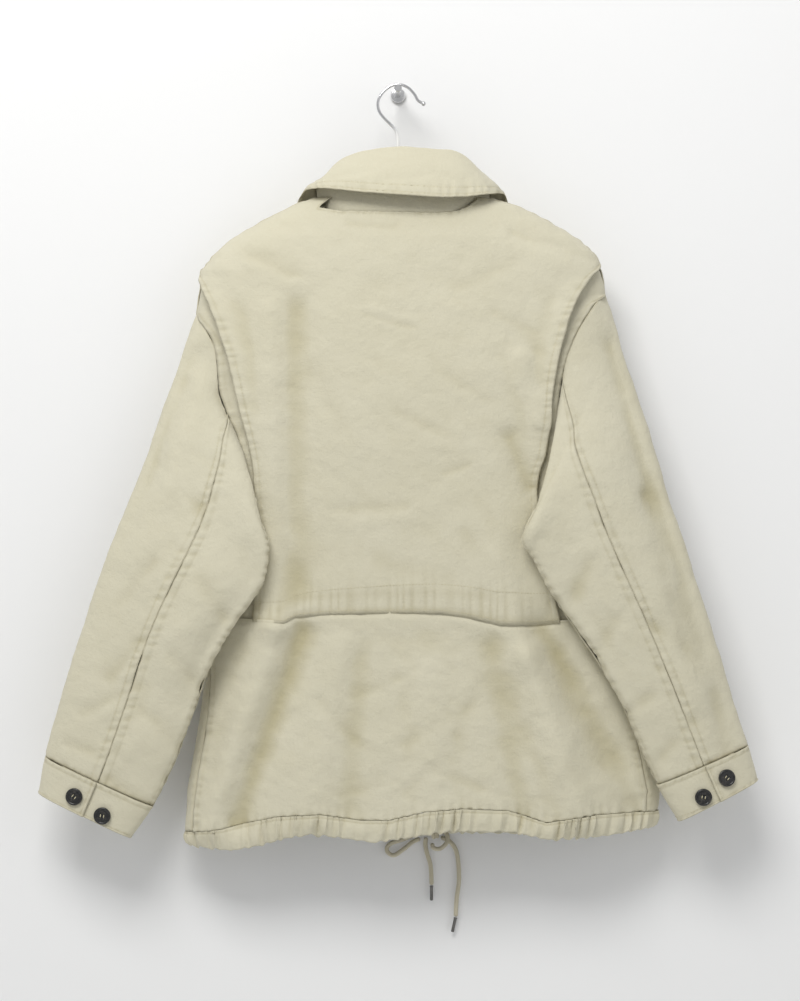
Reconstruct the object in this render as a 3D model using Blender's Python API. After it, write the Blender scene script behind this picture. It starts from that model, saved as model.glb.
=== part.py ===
# Chore jacket on a hanger, seen from its back, hung on a wall peg.
# Metres, +Z up, -Y is the back of the jacket, +Y is the wall.
# The tables hold millimetres; every point is scaled by MM when its mesh is made.

import math

import bmesh
import bpy
from mathutils import Vector

MM = 0.001
WALL = 1.6             # cloth wall
COLLAR_WALL = 2.0
CUFF_WALL = 2.2
CASING_WALL = 2.4
SEAM_GAP = 0.3         # gap left between two pieces at a seam
SECTION_POWER = 2.5    # 2 is an ellipse, more is squarer

# One row for each level of the body, from the neck down: left and right sides,
# and how deep the side, the centre back and the centre front lie.
BODY_SECTIONS = [
    # level, left, right, side depth, back depth, front depth
    (-108, -78, 84, -2, -26, 20),
    (-120, -88, 104, -2, -34, 27),
    (-128, -112, 129, -2, -38, 29),
    (-144, -143, 160, -2, -42, 31),
    (-161, -170, 186, -2, -46, 33),
    (-177, -191, 204, -2, -48, 35),
    (-194, -205, 214, -1, -50, 36),
    (-211, -209, 219, -1, -51, 37),
    (-237, -213, 222, 0, -53, 38),
    (-300, -214, 222, 1, -55, 40),
    (-380, -208, 217, 4, -54, 41),
    (-455, -200, 216, 8, -50, 42),
    (-515, -206, 227, 10, -47, 42),
    (-565, -206, 235, 10, -46, 42),
    (-622, -204, 248, 10, -46, 41),
    (-690, -214, 267, 8, -46, 40),
    (-743, -224, 279, 6, -45, 40),
    (-784, -225, 273, 4, -44, 39),
    (-806, -222, 266, 4, -42, 38),
]

# Folds of the back: a soft line from (x, level) to (x, level); a minus height is a trough.
BACK_FOLDS = [
    # start x, start level, end x, end level, half width, height
    (-128, -240, -128, -560, 13, 4),
    (-108, -225, -104, -530, 14, -6),
    (-130, -575, -203, -776, 20, 10),
    (-100, -575, -166, -770, 17, -9),
    (-60, -590, -92, -770, 18, 4),
    (101, -500, 136, -600, 16, 5),
    (138, -600, 190, -765, 19, 10),
    (150, -575, 222, -706, 16, -9),
    (222, -706, 250, -775, 14, -6),
    (96, -590, 132, -770, 16, -5),
    (116, -372, 136, -424, 12, -5),
    (128, -288, 146, -352, 10, 4),
    (120, -158, 205, -184, 8, -3),
    (-40, -600, -50, -765, 14, -3),
    (30, -620, 44, -765, 18, 3),
]

# The seams of the body.
BACK_NECK = [
    # x, level of the neck seam across the back
    (-88, -120), (-80, -130.5), (-54, -134), (-15, -134.5), (37, -136), (59, -133.5),
    (82, -126), (104, -120),
]
FRONT_NECK = [
    # share of the way round from the side to the centre front, level
    (0.0, -120), (0.3, -128), (0.6, -150), (0.85, -172), (1.0, -180), (1.1, -182),
]
WAIST_SEAM = [
    # x, level of the seam between the back and the skirt
    (-210, -562), (-160, -563), (-120, -565), (-108, -558), (-71, -555), (2, -554),
    (44, -554), (75, -559), (106, -566), (138, -567), (180, -564), (238, -562),
]
CASING_TOP = [
    # x, level of the top of the hem casing across the back
    (-225, -786), (-185, -781), (-158, -774), (-128, -767), (-83, -764), (-40, -770),
    (-10, -770), (28, -761), (66, -758), (113, -760), (155, -773), (205, -765),
    (255, -764), (272, -764),
]
HEM = [
    # x, level of the hem across the back
    (-225, -801), (-176, -804), (-149, -799), (-113, -789), (-92, -786), (-61, -789),
    (-24, -794), (23, -787), (54, -782), (117, -783), (159, -792), (211, -789),
    (243, -785), (272, -781),
]
FRONT_CASING_TOP = -768
FRONT_HEM = -793

# Seam lines on the body, left then right, from the shoulder tip to the hem.
# A point is (x, level) on the back, and the front's armhole is a share of the way round.
ARMHOLE = {
    "l": [(-213, -237), (-203, -256), (-193, -275), (-189, -300), (-187, -322),
          (-179, -345), (-170, -366), (-162, -391), (-158, -415), (-158, -437), (-163, -454)],
    "r": [(222, -218), (209, -228), (199, -242), (189, -258), (179, -280),
          (172, -306), (169, -332), (167, -360), (165, -388), (162, -418), (161, -445)],
}
FRONT_ARMHOLE = [
    # share of the way round past the side (negative is still on the back), share of the drop
    (0.0, 0.0), (0.05, 0.10), (0.08, 0.20), (0.10, 0.31), (0.11, 0.42), (0.11, 0.53),
    (0.10, 0.64), (0.07, 0.75), (0.0, 0.86), (-0.18, 0.95),
]
SIDE_SEAM = {
    "l": [(-163, -454), (-171, -480), (-180, -505), (-188, -532), (-195, -562),
          (-198, -600), (-199, -640), (-203, -680), (-210, -720), (-215, -755), (-216, -785)],
    "r": [(161, -446), (168, -472), (184, -502), (206, -530), (218, -560),
          (232, -600), (241, -640), (248, -670), (256, -705), (262, -740), (262, -764)],
}
CAPE_EDGE = {
    "l": [(-207, -199), (-203, -214), (-191, -239), (-184, -261), (-176, -285), (-170, -310),
          (-164, -337), (-157, -365), (-152, -392), (-149, -420), (-147, -480), (-152, -560)],
    "r": [(213, -188), (202, -202), (189, -220), (179, -240), (173, -260), (167, -282),
          (162, -308), (158, -335), (156, -365), (152, -400), (144, -440), (170, -562)],
}
CAPE_TIP_LEVEL = {"l": -199, "r": -188}

# Sleeves: one row a station, from the armhole down to the end of the cuff.
SLEEVES = {
    "l": [
        # outer x, depth, level, inner x, depth, level, back bulge, front bulge
        (-213, -2, -237, -163, -42, -452, 14, 26),
        (-222, -4, -262, -143, -54, -462, 18, 26),
        (-234, -8, -300, -135, -58, -478, 21, 25),
        (-248, -12, -340, -135, -58, -496, 23, 24),
        (-264, -15, -385, -140, -57, -522, 24, 23),
        (-282, -18, -434, -152, -54, -541, 24, 22),
        (-302, -20, -485, -168, -51, -562, 24, 22),
        (-320, -20, -535, -185, -48, -588, 23, 21),
        (-337, -20, -586, -200, -44, -618, 22, 20),
        (-352, -20, -634, -213, -40, -656, 21, 19),
        (-363, -19, -672, -233, -36, -708, 19, 18),
        (-371, -19, -705, -257, -32, -756, 17, 17),
        (-378, -19, -744, -281, -28, -790, 16, 16),
    ],
    "r": [
        (222, -2, -218, 160, -44, -443, 14, 26),
        (229, -4, -244, 141, -56, -457, 18, 26),
        (238, -8, -280, 129, -61, -472, 21, 25),
        (251, -12, -320, 131, -62, -484, 23, 24),
        (264, -15, -362, 139, -60, -495, 24, 23),
        (280, -18, -415, 152, -57, -520, 24, 22),
        (298, -20, -470, 170, -53, -548, 24, 22),
        (316, -20, -526, 190, -50, -576, 23, 21),
        (333, -20, -582, 211, -46, -608, 22, 20),
        (348, -20, -634, 234, -42, -648, 21, 19),
        (360, -19, -668, 252, -38, -690, 20, 19),
        (368, -19, -693, 271, -34, -733, 20, 19),
        (378, -19, -730, 295, -30, -772, 20, 19),
    ],
}
SLEEVE_FOLDS = {
    "l": [
        # share along, share around, reach along, reach around, height
        (0.30, 0.10, 0.30, 0.035, -5), (0.30, 0.17, 0.26, 0.04, 4),
        (0.36, 0.36, 0.07, 0.09, -6), (0.55, 0.30, 0.22, 0.05, 4),
        (0.62, 0.40, 0.20, 0.04, -4), (0.80, 0.30, 0.06, 0.10, -4),
    ],
    "r": [
        (0.40, 0.12, 0.30, 0.04, -7), (0.34, 0.24, 0.22, 0.05, 5),
        (0.62, 0.36, 0.24, 0.045, -4), (0.70, 0.20, 0.22, 0.05, 4),
        (0.24, 0.38, 0.08, 0.07, 4), (0.82, 0.10, 0.07, 0.08, -4),
    ],
}
SLEEVE_CLEARANCE = 7    # sleeve to the body that it lies on
BACK_SEAM_SHARE = 5     # armhole points from the top to the sleeve's back seam
CUFF_START = 11         # station where the cuff begins
CUFFS = {
    # Where the cuff starts round the sleeve and how far it laps. A button is given by its
    # place round the cuff, its share of the cuff's height, and 1 if it is on the lap.
    "l": {"start": 0.15, "lap": 0.10, "buttons": [(0.218, 0.52, 1), (0.290, 0.66, 0)]},
    "r": {"start": 0.15, "lap": 0.10, "buttons": [(0.213, 0.45, 1), (0.285, 0.62, 0)]},
}

# Collar, from the left front end round the back to the right front end.
COLLAR_SECTIONS = [
    # seam x, depth, level, fold x, depth, level, edge x, depth, level
    (-16, 40, -178, -24, 42, -170, -66, 44, -222),
    (-44, 33, -168, -52, 37, -150, -92, 42, -192),
    (-70, 22, -146, -76, 25, -126, -106, 36, -150),
    (-85, 0, -121, -86, 1, -106, -100, 8, -118),
    (-76, -22, -121, -75, -20, -100, -86, -32, -114),
    (-54, -35, -132, -54, -28, -82, -60, -48, -116),
    (-15, -41, -133.5, -15, -33, -73, -15, -56, -121.5),
    (37, -42, -135, 35, -33, -74, 37, -57, -125.5),
    (62, -38, -132.5, 62, -28, -77, 66, -52, -124),
    (84, -24, -120, 82, -18, -92, 92, -38, -120),
    (98, 0, -121, 95, 2, -104, 110, 6, -118),
    (82, 22, -146, 88, 25, -126, 114, 36, -150),
    (52, 33, -168, 60, 37, -150, 98, 42, -192),
    (22, 37, -180, 30, 41, -170, 72, 44, -222),
]

BUTTON_RADIUS = 9
BUTTON_THICKNESS = 3.2
BUTTON_SIDES = 16
BUTTON_LIFT = 0.4
FRONT_OVERLAP = 0.06    # share of the way round that each front passes the centre
FRONT_BUTTON_LEVELS = [-235, -330, -425, -520, -615, -710]

GATHERS = 64
GATHER_DEPTH = 2.2
POINTS_PER_GATHER = 4

# Draw cord: two free ends and two bow loops below the front of the hem.
CORD_RADIUS = 2.3
CORD_STEP = 9
CORD_ROUTES = {
    # hand-chosen points (x, depth, level), from the bow's knot to the free end
    "drawcord_end_short": [(30.2, 45.2, -798.4), (29.4, 45.8, -806), (31, 46, -815),
                           (35, 45.4, -829), (36, 45, -846), (36, 45, -850)],
    "drawcord_end_long": [(46.1, 45.4, -798.4), (54, 46.2, -802), (61, 46.2, -809.5), (64.4, 45.8, -822),
                          (65.5, 45, -845), (63, 45, -865), (62, 45, -884)],
    "drawcord_loop_left": [(30.2, 44.8, -793.6), (18, 46, -796), (5, 46, -801), (-9, 45.4, -806),
                           (-12, 45, -813), (-5, 44.6, -818), (5, 44.4, -812), (15, 44.6, -804),
                           (24, 45.2, -800)],
    "drawcord_loop_right": [(48.4, 43.6, -791.4), (53, 41, -796), (52, 39, -804), (45, 38.4, -810),
                            (38, 38.6, -809), (36.6, 39.4, -804)],
}
KNOT_CENTRE = (39, 43.5, -794.8)
KNOT_SIZE = (8, 4.6, 6)
AGLET_RADIUS = 1.7
AGLET_LENGTH = 16
AGLETS = {
    # top point and direction along x for each metre of fall
    "aglet_short": ((36, 45, -850.4), 0.0),
    "aglet_long": ((61.9, 45, -884.7), -0.22),
}

# How finely the pieces are cut into rows and columns, and how they lie on each other.
SHOULDER_ROWS = 5
UPPER_SIDE_ROWS = 4
LOWER_SIDE_ROWS = 9
BACK_COLUMNS = 14
CAPE_SHOULDER_ROWS = 4
CAPE_ROWS = 14
CAPE_COLUMNS = 16
SKIRT_COLUMNS = 28
FRONT_COLUMNS = 8
SLEEVE_START_ROWS = (0, 0.2, 0.6, 1.0)
SLEEVE_ROWS = 11
SLEEVE_POWER = 2.5
SLEEVE_RINGS_START = 1.6    # where the sleeve's even rows start and the armhole's form ends
SLEEVE_SETTLE = 0.8     # by here the sleeve has its whole clearance from the body
LAYER_SETTLE = 0.5      # and by here its whole room inside
ARMHOLE_OPEN_SHARE = 0.72   # below this share of its drop the front closes the side
ARMHOLE_CLOSE = 30
OVERLAP_REACH = 14      # how far in from the armhole's edge the sleeve comes to lie over it
OVERLAP_START = 1
SEAM_STEP = 2.4         # the sleeve's seam lies over the body's where it rolls back
STEP_SPAN = {"from": 0.06, "rise": 0.08, "to": 0.61, "fall": 0.12}
SLEEVE_LAYER = 9        # least room inside the sleeve where it lies on the body
LAYER_FADE = 0.06       # of the way round, up to the underarm
FOLD_FADE = (0.12, 0.08)    # of the sleeve's length, at its head and at its cuff
NORMAL_STEP = {"around": 0.006, "along": 0.03}
CUFF_COLUMNS = 24
CUFF_LIFT = 0.6
CUFF_RAMP = 0.16
CUFF_LAP_ROOM = 0.3
CUFF_TOP_GAP = 0.012    # of a sleeve station, under the sleeve's end
CUFF_MIDDLE = 0.5
EDGE_REACH = 55         # a shaped edge moves the rows of its panel this far in
CAPE_LIFT = 2.2
CAPE_MIDDLE_LIFT = 1.5
CAPE_MIDDLE_FADE = 40
CAPE_EDGE_LIFT = 6
CAPE_EDGE_WIDTH = 0.16  # share of the half cape that stands off
CAPE_FREE_START = 10    # over the cape's tip
CAPE_FREE_FADE = 60
CAPE_FREE_END = -400    # below this level a sleeve lies on the cape's edge
SKIRT_RISE = 30
SKIRT_SIDE_FADE = 0.3
WAIST_GAP = 1.2
YOKE_SINK = 4
YOKE_SIDE_FADE = 0.16
YOKE_NECK_FADE = 0.3
SHOULDER_LIFT = {"level": -215, "fade": 20, "turn": 1.3, "turn_fade": 0.3}
FRONT_LAP_LIFT = 2.4
FRONT_LAP_FROM = 1.5
FRONT_LAP_FADE = 0.3
CASING_TOP_READ = -775  # level at which the casing's top line reads its x
HEM_READ = -790
CASING_LINES = (0.0, 0.45, 1.0)
GATHER_DRIFT = 0.25     # of a gather, so that no two are alike
GATHER_DRIFT_PITCH = 61
GATHER_UNEVEN = 0.25
GATHER_UNEVEN_PITCH = 47
GATHER_START, GATHER_SPAN = 0.15, 0.75  # of half a turn, down the casing
GATHER_LEAST = 0.35
HEM_WAVE = 0.6
CASING_END = 0.012      # share of the way round between the casing's end and the centre
CASING_DROP = 2
COLLAR_COLUMNS = 30
LEAF_LINES = (-1.0, 0.0, 0.3, 0.6, 1.0)     # from the fold's inner side to the edge
LEAF_BULGE = 3
STAND_TOP = 0.07        # the stand ends this share below the fold
STAND_LINES = (STAND_TOP, 0.5, 1.0)
LEAF_RISE = 4.3
NECK_CENTRE = 6
SEAM_LIFT = 2.5
BUTTON_RIM = 1.6
BUTTON_DISH = 0.7
BUTTON_SEAT = 0.4       # a flat button clears the round of the cuff
HOOK_STEP = 8
ARM_STEP = 20
PEG_OVERHANG = 5
PEG_HEAD_THICKNESS = 2

# Hanger and wall peg.
WALL_DEPTH = 50
HOOK_RADIUS = 1.6
HOOK_ROUTE = [
    (27, 0, -15.5), (21, 0, -12), (18, 0, -6.5), (12, 0, 0.4), (5.5, 0, 4), (-1, 0, 4.8),
    (-8, 0, 3), (-15, 0, -2.5), (-20, 0, -9.5), (-21.4, 0, -16.5), (-20, 0, -23.5),
    (-15.6, 0, -30), (-8.6, 0, -37), (-3, 0, -43), (-0.8, 0, -49), (0, 0, -60), (0, 0, -119),
]
HOOK_TIP_RADIUS = 2.6
ARM_RADIUS = 5
ARM_ROUTE = [(-180, 0.5, -179.4), (-166, 0.5, -168.4), (-139, 0.5, -151.8), (-109, 0.5, -136.2),
             (-75, 0.5, -128), (-30, 0, -124.6), (0, 0, -124.4), (30, 0, -124.6),
             (80, 0.5, -128), (126, 0.5, -136.4), (156, 0.5, -152), (182, 0.5, -168.8)]
PEG_RADIUS = 2.6
PEG_HEAD_RADIUS = 4
PEG_FLANGE_RADIUS = 8
PEG_FLANGE_THICKNESS = 4

PAINTS = {
    # colour, roughness, metallic
    "cloth": ((0.60, 0.56, 0.42), 0.9, 0.0),
    "cord": ((0.56, 0.50, 0.38), 0.9, 0.0),
    "button": ((0.012, 0.011, 0.010), 0.4, 0.0),
    "gunmetal": ((0.20, 0.20, 0.20), 0.35, 1.0),
    "chrome": ((0.80, 0.80, 0.80), 0.15, 1.0),
    "white_plastic": ((0.85, 0.85, 0.83), 0.4, 0.0),
}


def clear_scene():
    for item in list(bpy.data.objects):
        bpy.data.objects.remove(item, do_unlink=True)


def material(name):
    found = bpy.data.materials.get(name)
    if found:
        return found
    colour, roughness, metallic = PAINTS[name]
    made = bpy.data.materials.new(name)
    made.use_nodes = True
    shader = made.node_tree.nodes["Principled BSDF"]
    shader.inputs["Base Color"].default_value = (*colour, 1)
    shader.inputs["Roughness"].default_value = roughness
    shader.inputs["Metallic"].default_value = metallic
    return made


def clamp(value, low=0.0, high=1.0):
    return max(low, min(high, value))


def smooth(value):
    value = clamp(value)
    return value * value * (3 - 2 * value)


def mix(first, second, share):
    return first + (second - first) * share


def table_row(table, key, column=0):
    """Row of the table at the key, with straight runs between its rows."""
    rows = table if table[0][column] < table[-1][column] else table[::-1]
    if key <= rows[0][column]:
        return rows[0]
    for low, high in zip(rows, rows[1:]):
        if key <= high[column]:
            share = (key - low[column]) / (high[column] - low[column])
            return tuple(mix(a, b, share) for a, b in zip(low, high))
    return rows[-1]


def curve_point(points, share):
    """Point of a smooth curve through the points, at a share of its point count."""
    place = clamp(share) * (len(points) - 1)
    first = min(int(place), len(points) - 2)
    t = place - first
    near = [points[clamp(first + step, 0, len(points) - 1)] for step in (-1, 0, 1, 2)]
    return tuple(
        0.5 * (2 * b + (c - a) * t + (2 * a - 5 * b + 4 * c - d) * t * t
               + (3 * b - a - 3 * c + d) * t * t * t)
        for a, b, c, d in zip(*near))


def power(value, exponent):
    return math.copysign(abs(value) ** exponent, value)


def body_size(level):
    """Centre, half width, side depth, back reach and front reach of the body at a level."""
    _, left, right, side, back, front = table_row(BODY_SECTIONS, level)
    return (left + right) / 2, (right - left) / 2, side, side - back, front - side


def fold_height(x, level):
    """How far the folds of the back stand out at a point."""
    total = 0
    for x0, z0, x1, z1, width, height in BACK_FOLDS:
        along = Vector((x1 - x0, z1 - z0))
        share = Vector((x - x0, level - z0)).dot(along) / along.length_squared
        near = along * clamp(share)
        gap = math.hypot(x - x0 - near.x, level - z0 - near.y)
        total += height * math.exp(-(gap / width) ** 2)
    return total


def body_point(turn, level):
    """Point of the body's cloth: turn 0 is the centre back, 1 the right side, 2 the front."""
    centre, half, side, back, front = body_size(level)
    angle = turn * math.pi / 2
    across = power(math.sin(angle), 2 / SECTION_POWER)
    deep = power(math.cos(angle), 2 / SECTION_POWER)
    x = centre + half * across
    y = side - deep * (back if deep > 0 else front)
    if deep > 0:
        y -= fold_height(x, level) * smooth(deep * 1.6)
    return Vector((x, y, level))


def turn_at(x, level):
    """Turn of the back's point that lies at x."""
    centre, half, *_ = body_size(level)
    across = clamp((x - centre) / half, -1, 1)
    return math.asin(power(across, SECTION_POWER / 2)) * 2 / math.pi


def body_normal(turn, level):
    step = 0.006
    around = body_point(turn + step, level) - body_point(turn - step, level)
    down = body_point(turn, level - 1) - body_point(turn, level + 1)
    return down.cross(around).normalized()


class Wall:
    """A sheet of cloth: a grid of outer points and the way in to its inner points."""

    def __init__(self, rows, thickness, closed=False):
        self.outer = [[point.copy() for point, _ in row] for row in rows]
        self.inner = [[point - normal * thickness for point, normal in row] for row in rows]
        self.closed = closed

    def shrink(self, gap=SEAM_GAP / 2):
        """Draw the open edges in, which leaves the gap at each seam."""
        grids = (self.outer, self.inner)
        last = len(self.outer) - 1
        for grid in grids:
            for edge, near in ((0, 1), (last, last - 1)):
                for column, point in enumerate(grid[edge]):
                    point += (grid[near][column] - point).normalized() * gap
            if not self.closed:
                for row in grid:
                    row[0] += (row[1] - row[0]).normalized() * gap
                    row[-1] += (row[-2] - row[-1]).normalized() * gap
        return self

    def build(self, name, paint):
        mesh = bmesh.new()
        sides = [[[mesh.verts.new(point * MM) for point in row] for row in grid]
                 for grid in (self.outer, self.inner)]
        count = len(self.outer[0])
        steps = count if self.closed else count - 1
        for outside, grid in zip((True, False), sides):
            for upper, lower in zip(grid, grid[1:]):
                for column in range(steps):
                    after = (column + 1) % count
                    quad = [upper[column], lower[column], lower[after], upper[after]]
                    mesh.faces.new(quad if outside else quad[::-1])
        outer, inner = sides
        for column in range(steps):
            after = (column + 1) % count
            mesh.faces.new([outer[0][column], outer[0][after], inner[0][after], inner[0][column]])
            mesh.faces.new([outer[-1][after], outer[-1][column], inner[-1][column],
                            inner[-1][after]])
        if not self.closed:
            for row in range(len(self.outer) - 1):
                mesh.faces.new([outer[row][0], inner[row][0], inner[row + 1][0],
                                outer[row + 1][0]])
                mesh.faces.new([outer[row][-1], outer[row + 1][-1], inner[row + 1][-1],
                                inner[row][-1]])
        return finish_mesh(mesh, name, paint)


def finish_mesh(mesh, name, paint):
    bmesh.ops.recalc_face_normals(mesh, faces=mesh.faces)
    data = bpy.data.meshes.new(name)
    mesh.to_mesh(data)
    mesh.free()
    made = bpy.data.objects.new(name, data)
    bpy.context.collection.objects.link(made)
    data.materials.append(material(paint))
    data.shade_smooth()
    data.set_sharp_from_angle(angle=math.radians(40))
    return made


def side_sign(side):
    return -1 if side == "l" else 1


def shoulder_line(side, end_level, steps):
    """Shoulder seam from the neck down to a level, as turns and levels."""
    start = BACK_NECK[0][1] if side == "l" else BACK_NECK[-1][1]
    return [(side_sign(side), mix(start, end_level, step / steps)) for step in range(steps + 1)]


def back_line(points, steps):
    """Points across the back, resampled on a smooth curve, as turns and levels."""
    line = [curve_point(points, step / steps) for step in range(steps + 1)]
    return [(turn_at(x, level), level) for x, level in line]


def armhole_back(side):
    return [(turn_at(x, level), level) for x, level in ARMHOLE[side]]


def armhole_front(side):
    top, bottom = ARMHOLE[side][0][1], ARMHOLE[side][-1][1]
    line = [(side_sign(side) * (1 + past), mix(top, bottom, drop)) for past, drop in FRONT_ARMHOLE]
    return line + [armhole_back(side)[-1]]


def side_seam(side, part):
    """Upper or lower stretch of the side seam, which meet at the waist seam."""
    points = SIDE_SEAM[side]
    if part == "upper":
        return back_line(points[:5], UPPER_SIDE_ROWS)
    return back_line(points[4:], LOWER_SIDE_ROWS)


def casing_top(turn):
    at_side = body_point(clamp(turn, -1, 1), CASING_TOP_READ).x
    level = table_row(CASING_TOP, at_side)[1]
    return mix(level, FRONT_CASING_TOP, smooth((abs(turn) - 1) * 2))


def hem_level(turn):
    at_side = body_point(clamp(turn, -1, 1), HEM_READ).x
    level = table_row(HEM, at_side)[1]
    return mix(level, FRONT_HEM, smooth((abs(turn) - 1) * 2))


def level_on(table):
    """Level of a seam across the back, read by the x of its own turn."""
    middle = sum(row[1] for row in table) / len(table)
    return lambda turn: table_row(table, body_point(turn, middle).x)[1]


def body_panel(left, right, columns, top, bottom, lift, reach=EDGE_REACH):
    """Rows of points and normals between two seam lines, with a shaped top and bottom edge."""
    rows = []
    for (turn_left, level_left), (turn_right, level_right) in zip(left, right):
        row = []
        for column in range(columns + 1):
            share = column / columns
            turn = mix(turn_left, turn_right, share)
            level = mix(level_left, level_right, share)
            first = mix(left[0][1], right[0][1], share)
            last = mix(left[-1][1], right[-1][1], share)
            level_here = level
            level_here += (top(turn) - first) * clamp(1 - (first - level) / reach)
            level_here += (bottom(turn) - last) * clamp(1 - (level - last) / reach)
            normal = body_normal(turn, level_here)
            out = lift(turn, level_here, share)
            row.append((body_point(turn, level_here) + normal * out, normal))
        rows.append(row)
    return rows


def below_neck(turn):
    """Upper edge of the yoke, hidden just under the cape's."""
    return level_on(BACK_NECK)(turn) - YOKE_SINK * smooth((1 - abs(turn)) / YOKE_NECK_FADE)


def above_waist(turn):
    """Lower edge of the cape and the yoke, just above the skirt."""
    return level_on(WAIST_SEAM)(turn) + WAIST_GAP


def yoke_lift(turn, level, share):
    """The yoke lies free under the cape, and meets the sleeves at its own edges."""
    return -YOKE_SINK * smooth((1 - abs(2 * share - 1)) / YOKE_SIDE_FADE)


def skirt_lift(turn, level, share):
    """The skirt's top comes out to the cape's level."""
    near_top = smooth(1 - (level_on(WAIST_SEAM)(turn) - level) / SKIRT_RISE)
    return CAPE_LIFT * near_top * smooth((1 - abs(2 * share - 1)) / SKIRT_SIDE_FADE)


def cape_lift(turn, level, share):
    """The cape's free edges stand off the back, and its seams lie just over it."""
    to_edge = 1 - abs(2 * share - 1)
    drop = CAPE_TIP_LEVEL["l"] - level
    free = smooth((drop + CAPE_FREE_START) / CAPE_FREE_FADE) \
        * smooth((level - CAPE_FREE_END) / CAPE_FREE_FADE)
    middle = smooth((BACK_NECK[3][1] - level) / CAPE_MIDDLE_FADE) \
        * smooth((level - WAIST_SEAM[5][1]) / CAPE_MIDDLE_FADE)
    at_edge = CAPE_EDGE_LIFT * free * smooth(1 - to_edge / CAPE_EDGE_WIDTH)
    return CAPE_LIFT + CAPE_MIDDLE_LIFT * middle + at_edge


def front_lift(side):
    """A front meets the cape at the shoulder, and the left one lies over the right."""

    def lift(turn, level, share):
        at_shoulder = smooth((level - SHOULDER_LIFT["level"]) / SHOULDER_LIFT["fade"]) \
            * smooth((SHOULDER_LIFT["turn"] - abs(turn)) / SHOULDER_LIFT["turn_fade"])
        over = smooth((abs(turn) - FRONT_LAP_FROM) / FRONT_LAP_FADE) if side == "l" else 0
        return CAPE_LIFT * at_shoulder + FRONT_LAP_LIFT * over

    return lift


def build_back():
    left = shoulder_line("l", ARMHOLE["l"][0][1], SHOULDER_ROWS) + armhole_back("l")[1:] \
        + side_seam("l", "upper")[1:]
    right = shoulder_line("r", ARMHOLE["r"][0][1], SHOULDER_ROWS) + armhole_back("r")[1:] \
        + side_seam("r", "upper")[1:]
    rows = body_panel(left, right, BACK_COLUMNS, below_neck, above_waist, yoke_lift)
    Wall(rows, WALL).shrink().build("back_yoke", "cloth")


def build_cape():
    edges = {}
    for side in "lr":
        ridge = shoulder_line(side, CAPE_TIP_LEVEL[side], CAPE_SHOULDER_ROWS)
        edges[side] = ridge + back_line(CAPE_EDGE[side], CAPE_ROWS)[1:]
    rows = body_panel(edges["l"], edges["r"], CAPE_COLUMNS, level_on(BACK_NECK), above_waist,
                      cape_lift)
    Wall(rows, WALL).shrink().build("back_cape", "cloth")


def build_skirt():
    rows = body_panel(side_seam("l", "lower"), side_seam("r", "lower"), SKIRT_COLUMNS,
                      level_on(WAIST_SEAM), casing_top, skirt_lift)
    Wall(rows, WALL).shrink().build("back_skirt", "cloth")


def build_front(side):
    sign = side_sign(side)
    edge = shoulder_line(side, ARMHOLE[side][0][1], SHOULDER_ROWS) + armhole_front(side)[1:] \
        + side_seam(side, "upper")[1:] + side_seam(side, "lower")[1:]
    last_turn = 2 + FRONT_OVERLAP
    neck = FRONT_NECK[-1][1]
    centre = [(sign * last_turn, mix(neck, FRONT_CASING_TOP, row / (len(edge) - 1)))
              for row in range(len(edge))]
    left, right = (centre, edge) if side == "l" else (edge, centre)

    def neck_level(turn):
        return table_row(FRONT_NECK, abs(turn) - 1)[1]

    rows = body_panel(left, right, FRONT_COLUMNS, neck_level, casing_top, front_lift(side))
    Wall(rows, WALL).shrink().build(f"front_{side}", "cloth")


def build_casing():
    """The gathered hem casing, one strip round the body from front edge to front edge."""
    steps = GATHERS * POINTS_PER_GATHER
    end_turn = 2 - CASING_END
    rows = []
    for drop in CASING_LINES:
        row = []
        for step in range(steps + 1):
            share = step / steps
            turn = mix(-end_turn, end_turn, share)
            drift = GATHER_DRIFT * math.sin(share * GATHER_DRIFT_PITCH)
            wave = math.cos(2 * math.pi * (share * GATHERS + drift))
            level = mix(casing_top(turn) - CASING_DROP, hem_level(turn), drop)
            normal = body_normal(turn, level)
            uneven = math.sin(share * GATHER_UNEVEN_PITCH + drop)
            depth = GATHER_DEPTH * (1 - GATHER_UNEVEN + GATHER_UNEVEN * uneven)
            bulge = math.sin(math.pi * (GATHER_START + GATHER_SPAN * drop))
            out = depth * wave * mix(GATHER_LEAST, 1, bulge)
            level += HEM_WAVE * wave * drop
            point = body_point(turn, level) + normal * out
            row.append((Vector((point.x, point.y, level)), normal))
        rows.append(row)
    Wall(rows, CASING_WALL).build("hem_casing", "cloth")


def ring_point(side, around):
    """Point of the armhole seam: 0 at its top, half at the underarm, and 1 at the top again."""
    ring = armhole_back(side) + armhole_front(side)[-2:0:-1]
    points = [body_point(turn, level) for turn, level in ring]
    place = (around % 1) * len(points)
    first = int(place)
    share = place - first
    near = [points[(first + step) % len(points)] for step in (-1, 0, 1, 2)]
    return Vector(curve_point(near, (1 + share) / 3))


def sleeve_form(side, along, around):
    """Point of the sleeve as a flattened tube, before it is joined to the armhole."""
    row = curve_point(SLEEVES[side], along / (len(SLEEVES[side]) - 1))
    outer, inner = Vector((row[0], row[1], row[2])), Vector((row[3], row[4], row[5]))
    angle = around * 2 * math.pi
    across = power(math.cos(angle), 2 / SLEEVE_POWER)
    bulge = power(math.sin(angle), 2 / SLEEVE_POWER)
    point = (outer + inner) / 2 + (outer - inner) / 2 * across
    point.y -= bulge * (row[6] if bulge > 0 else row[7])
    return point


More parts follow.
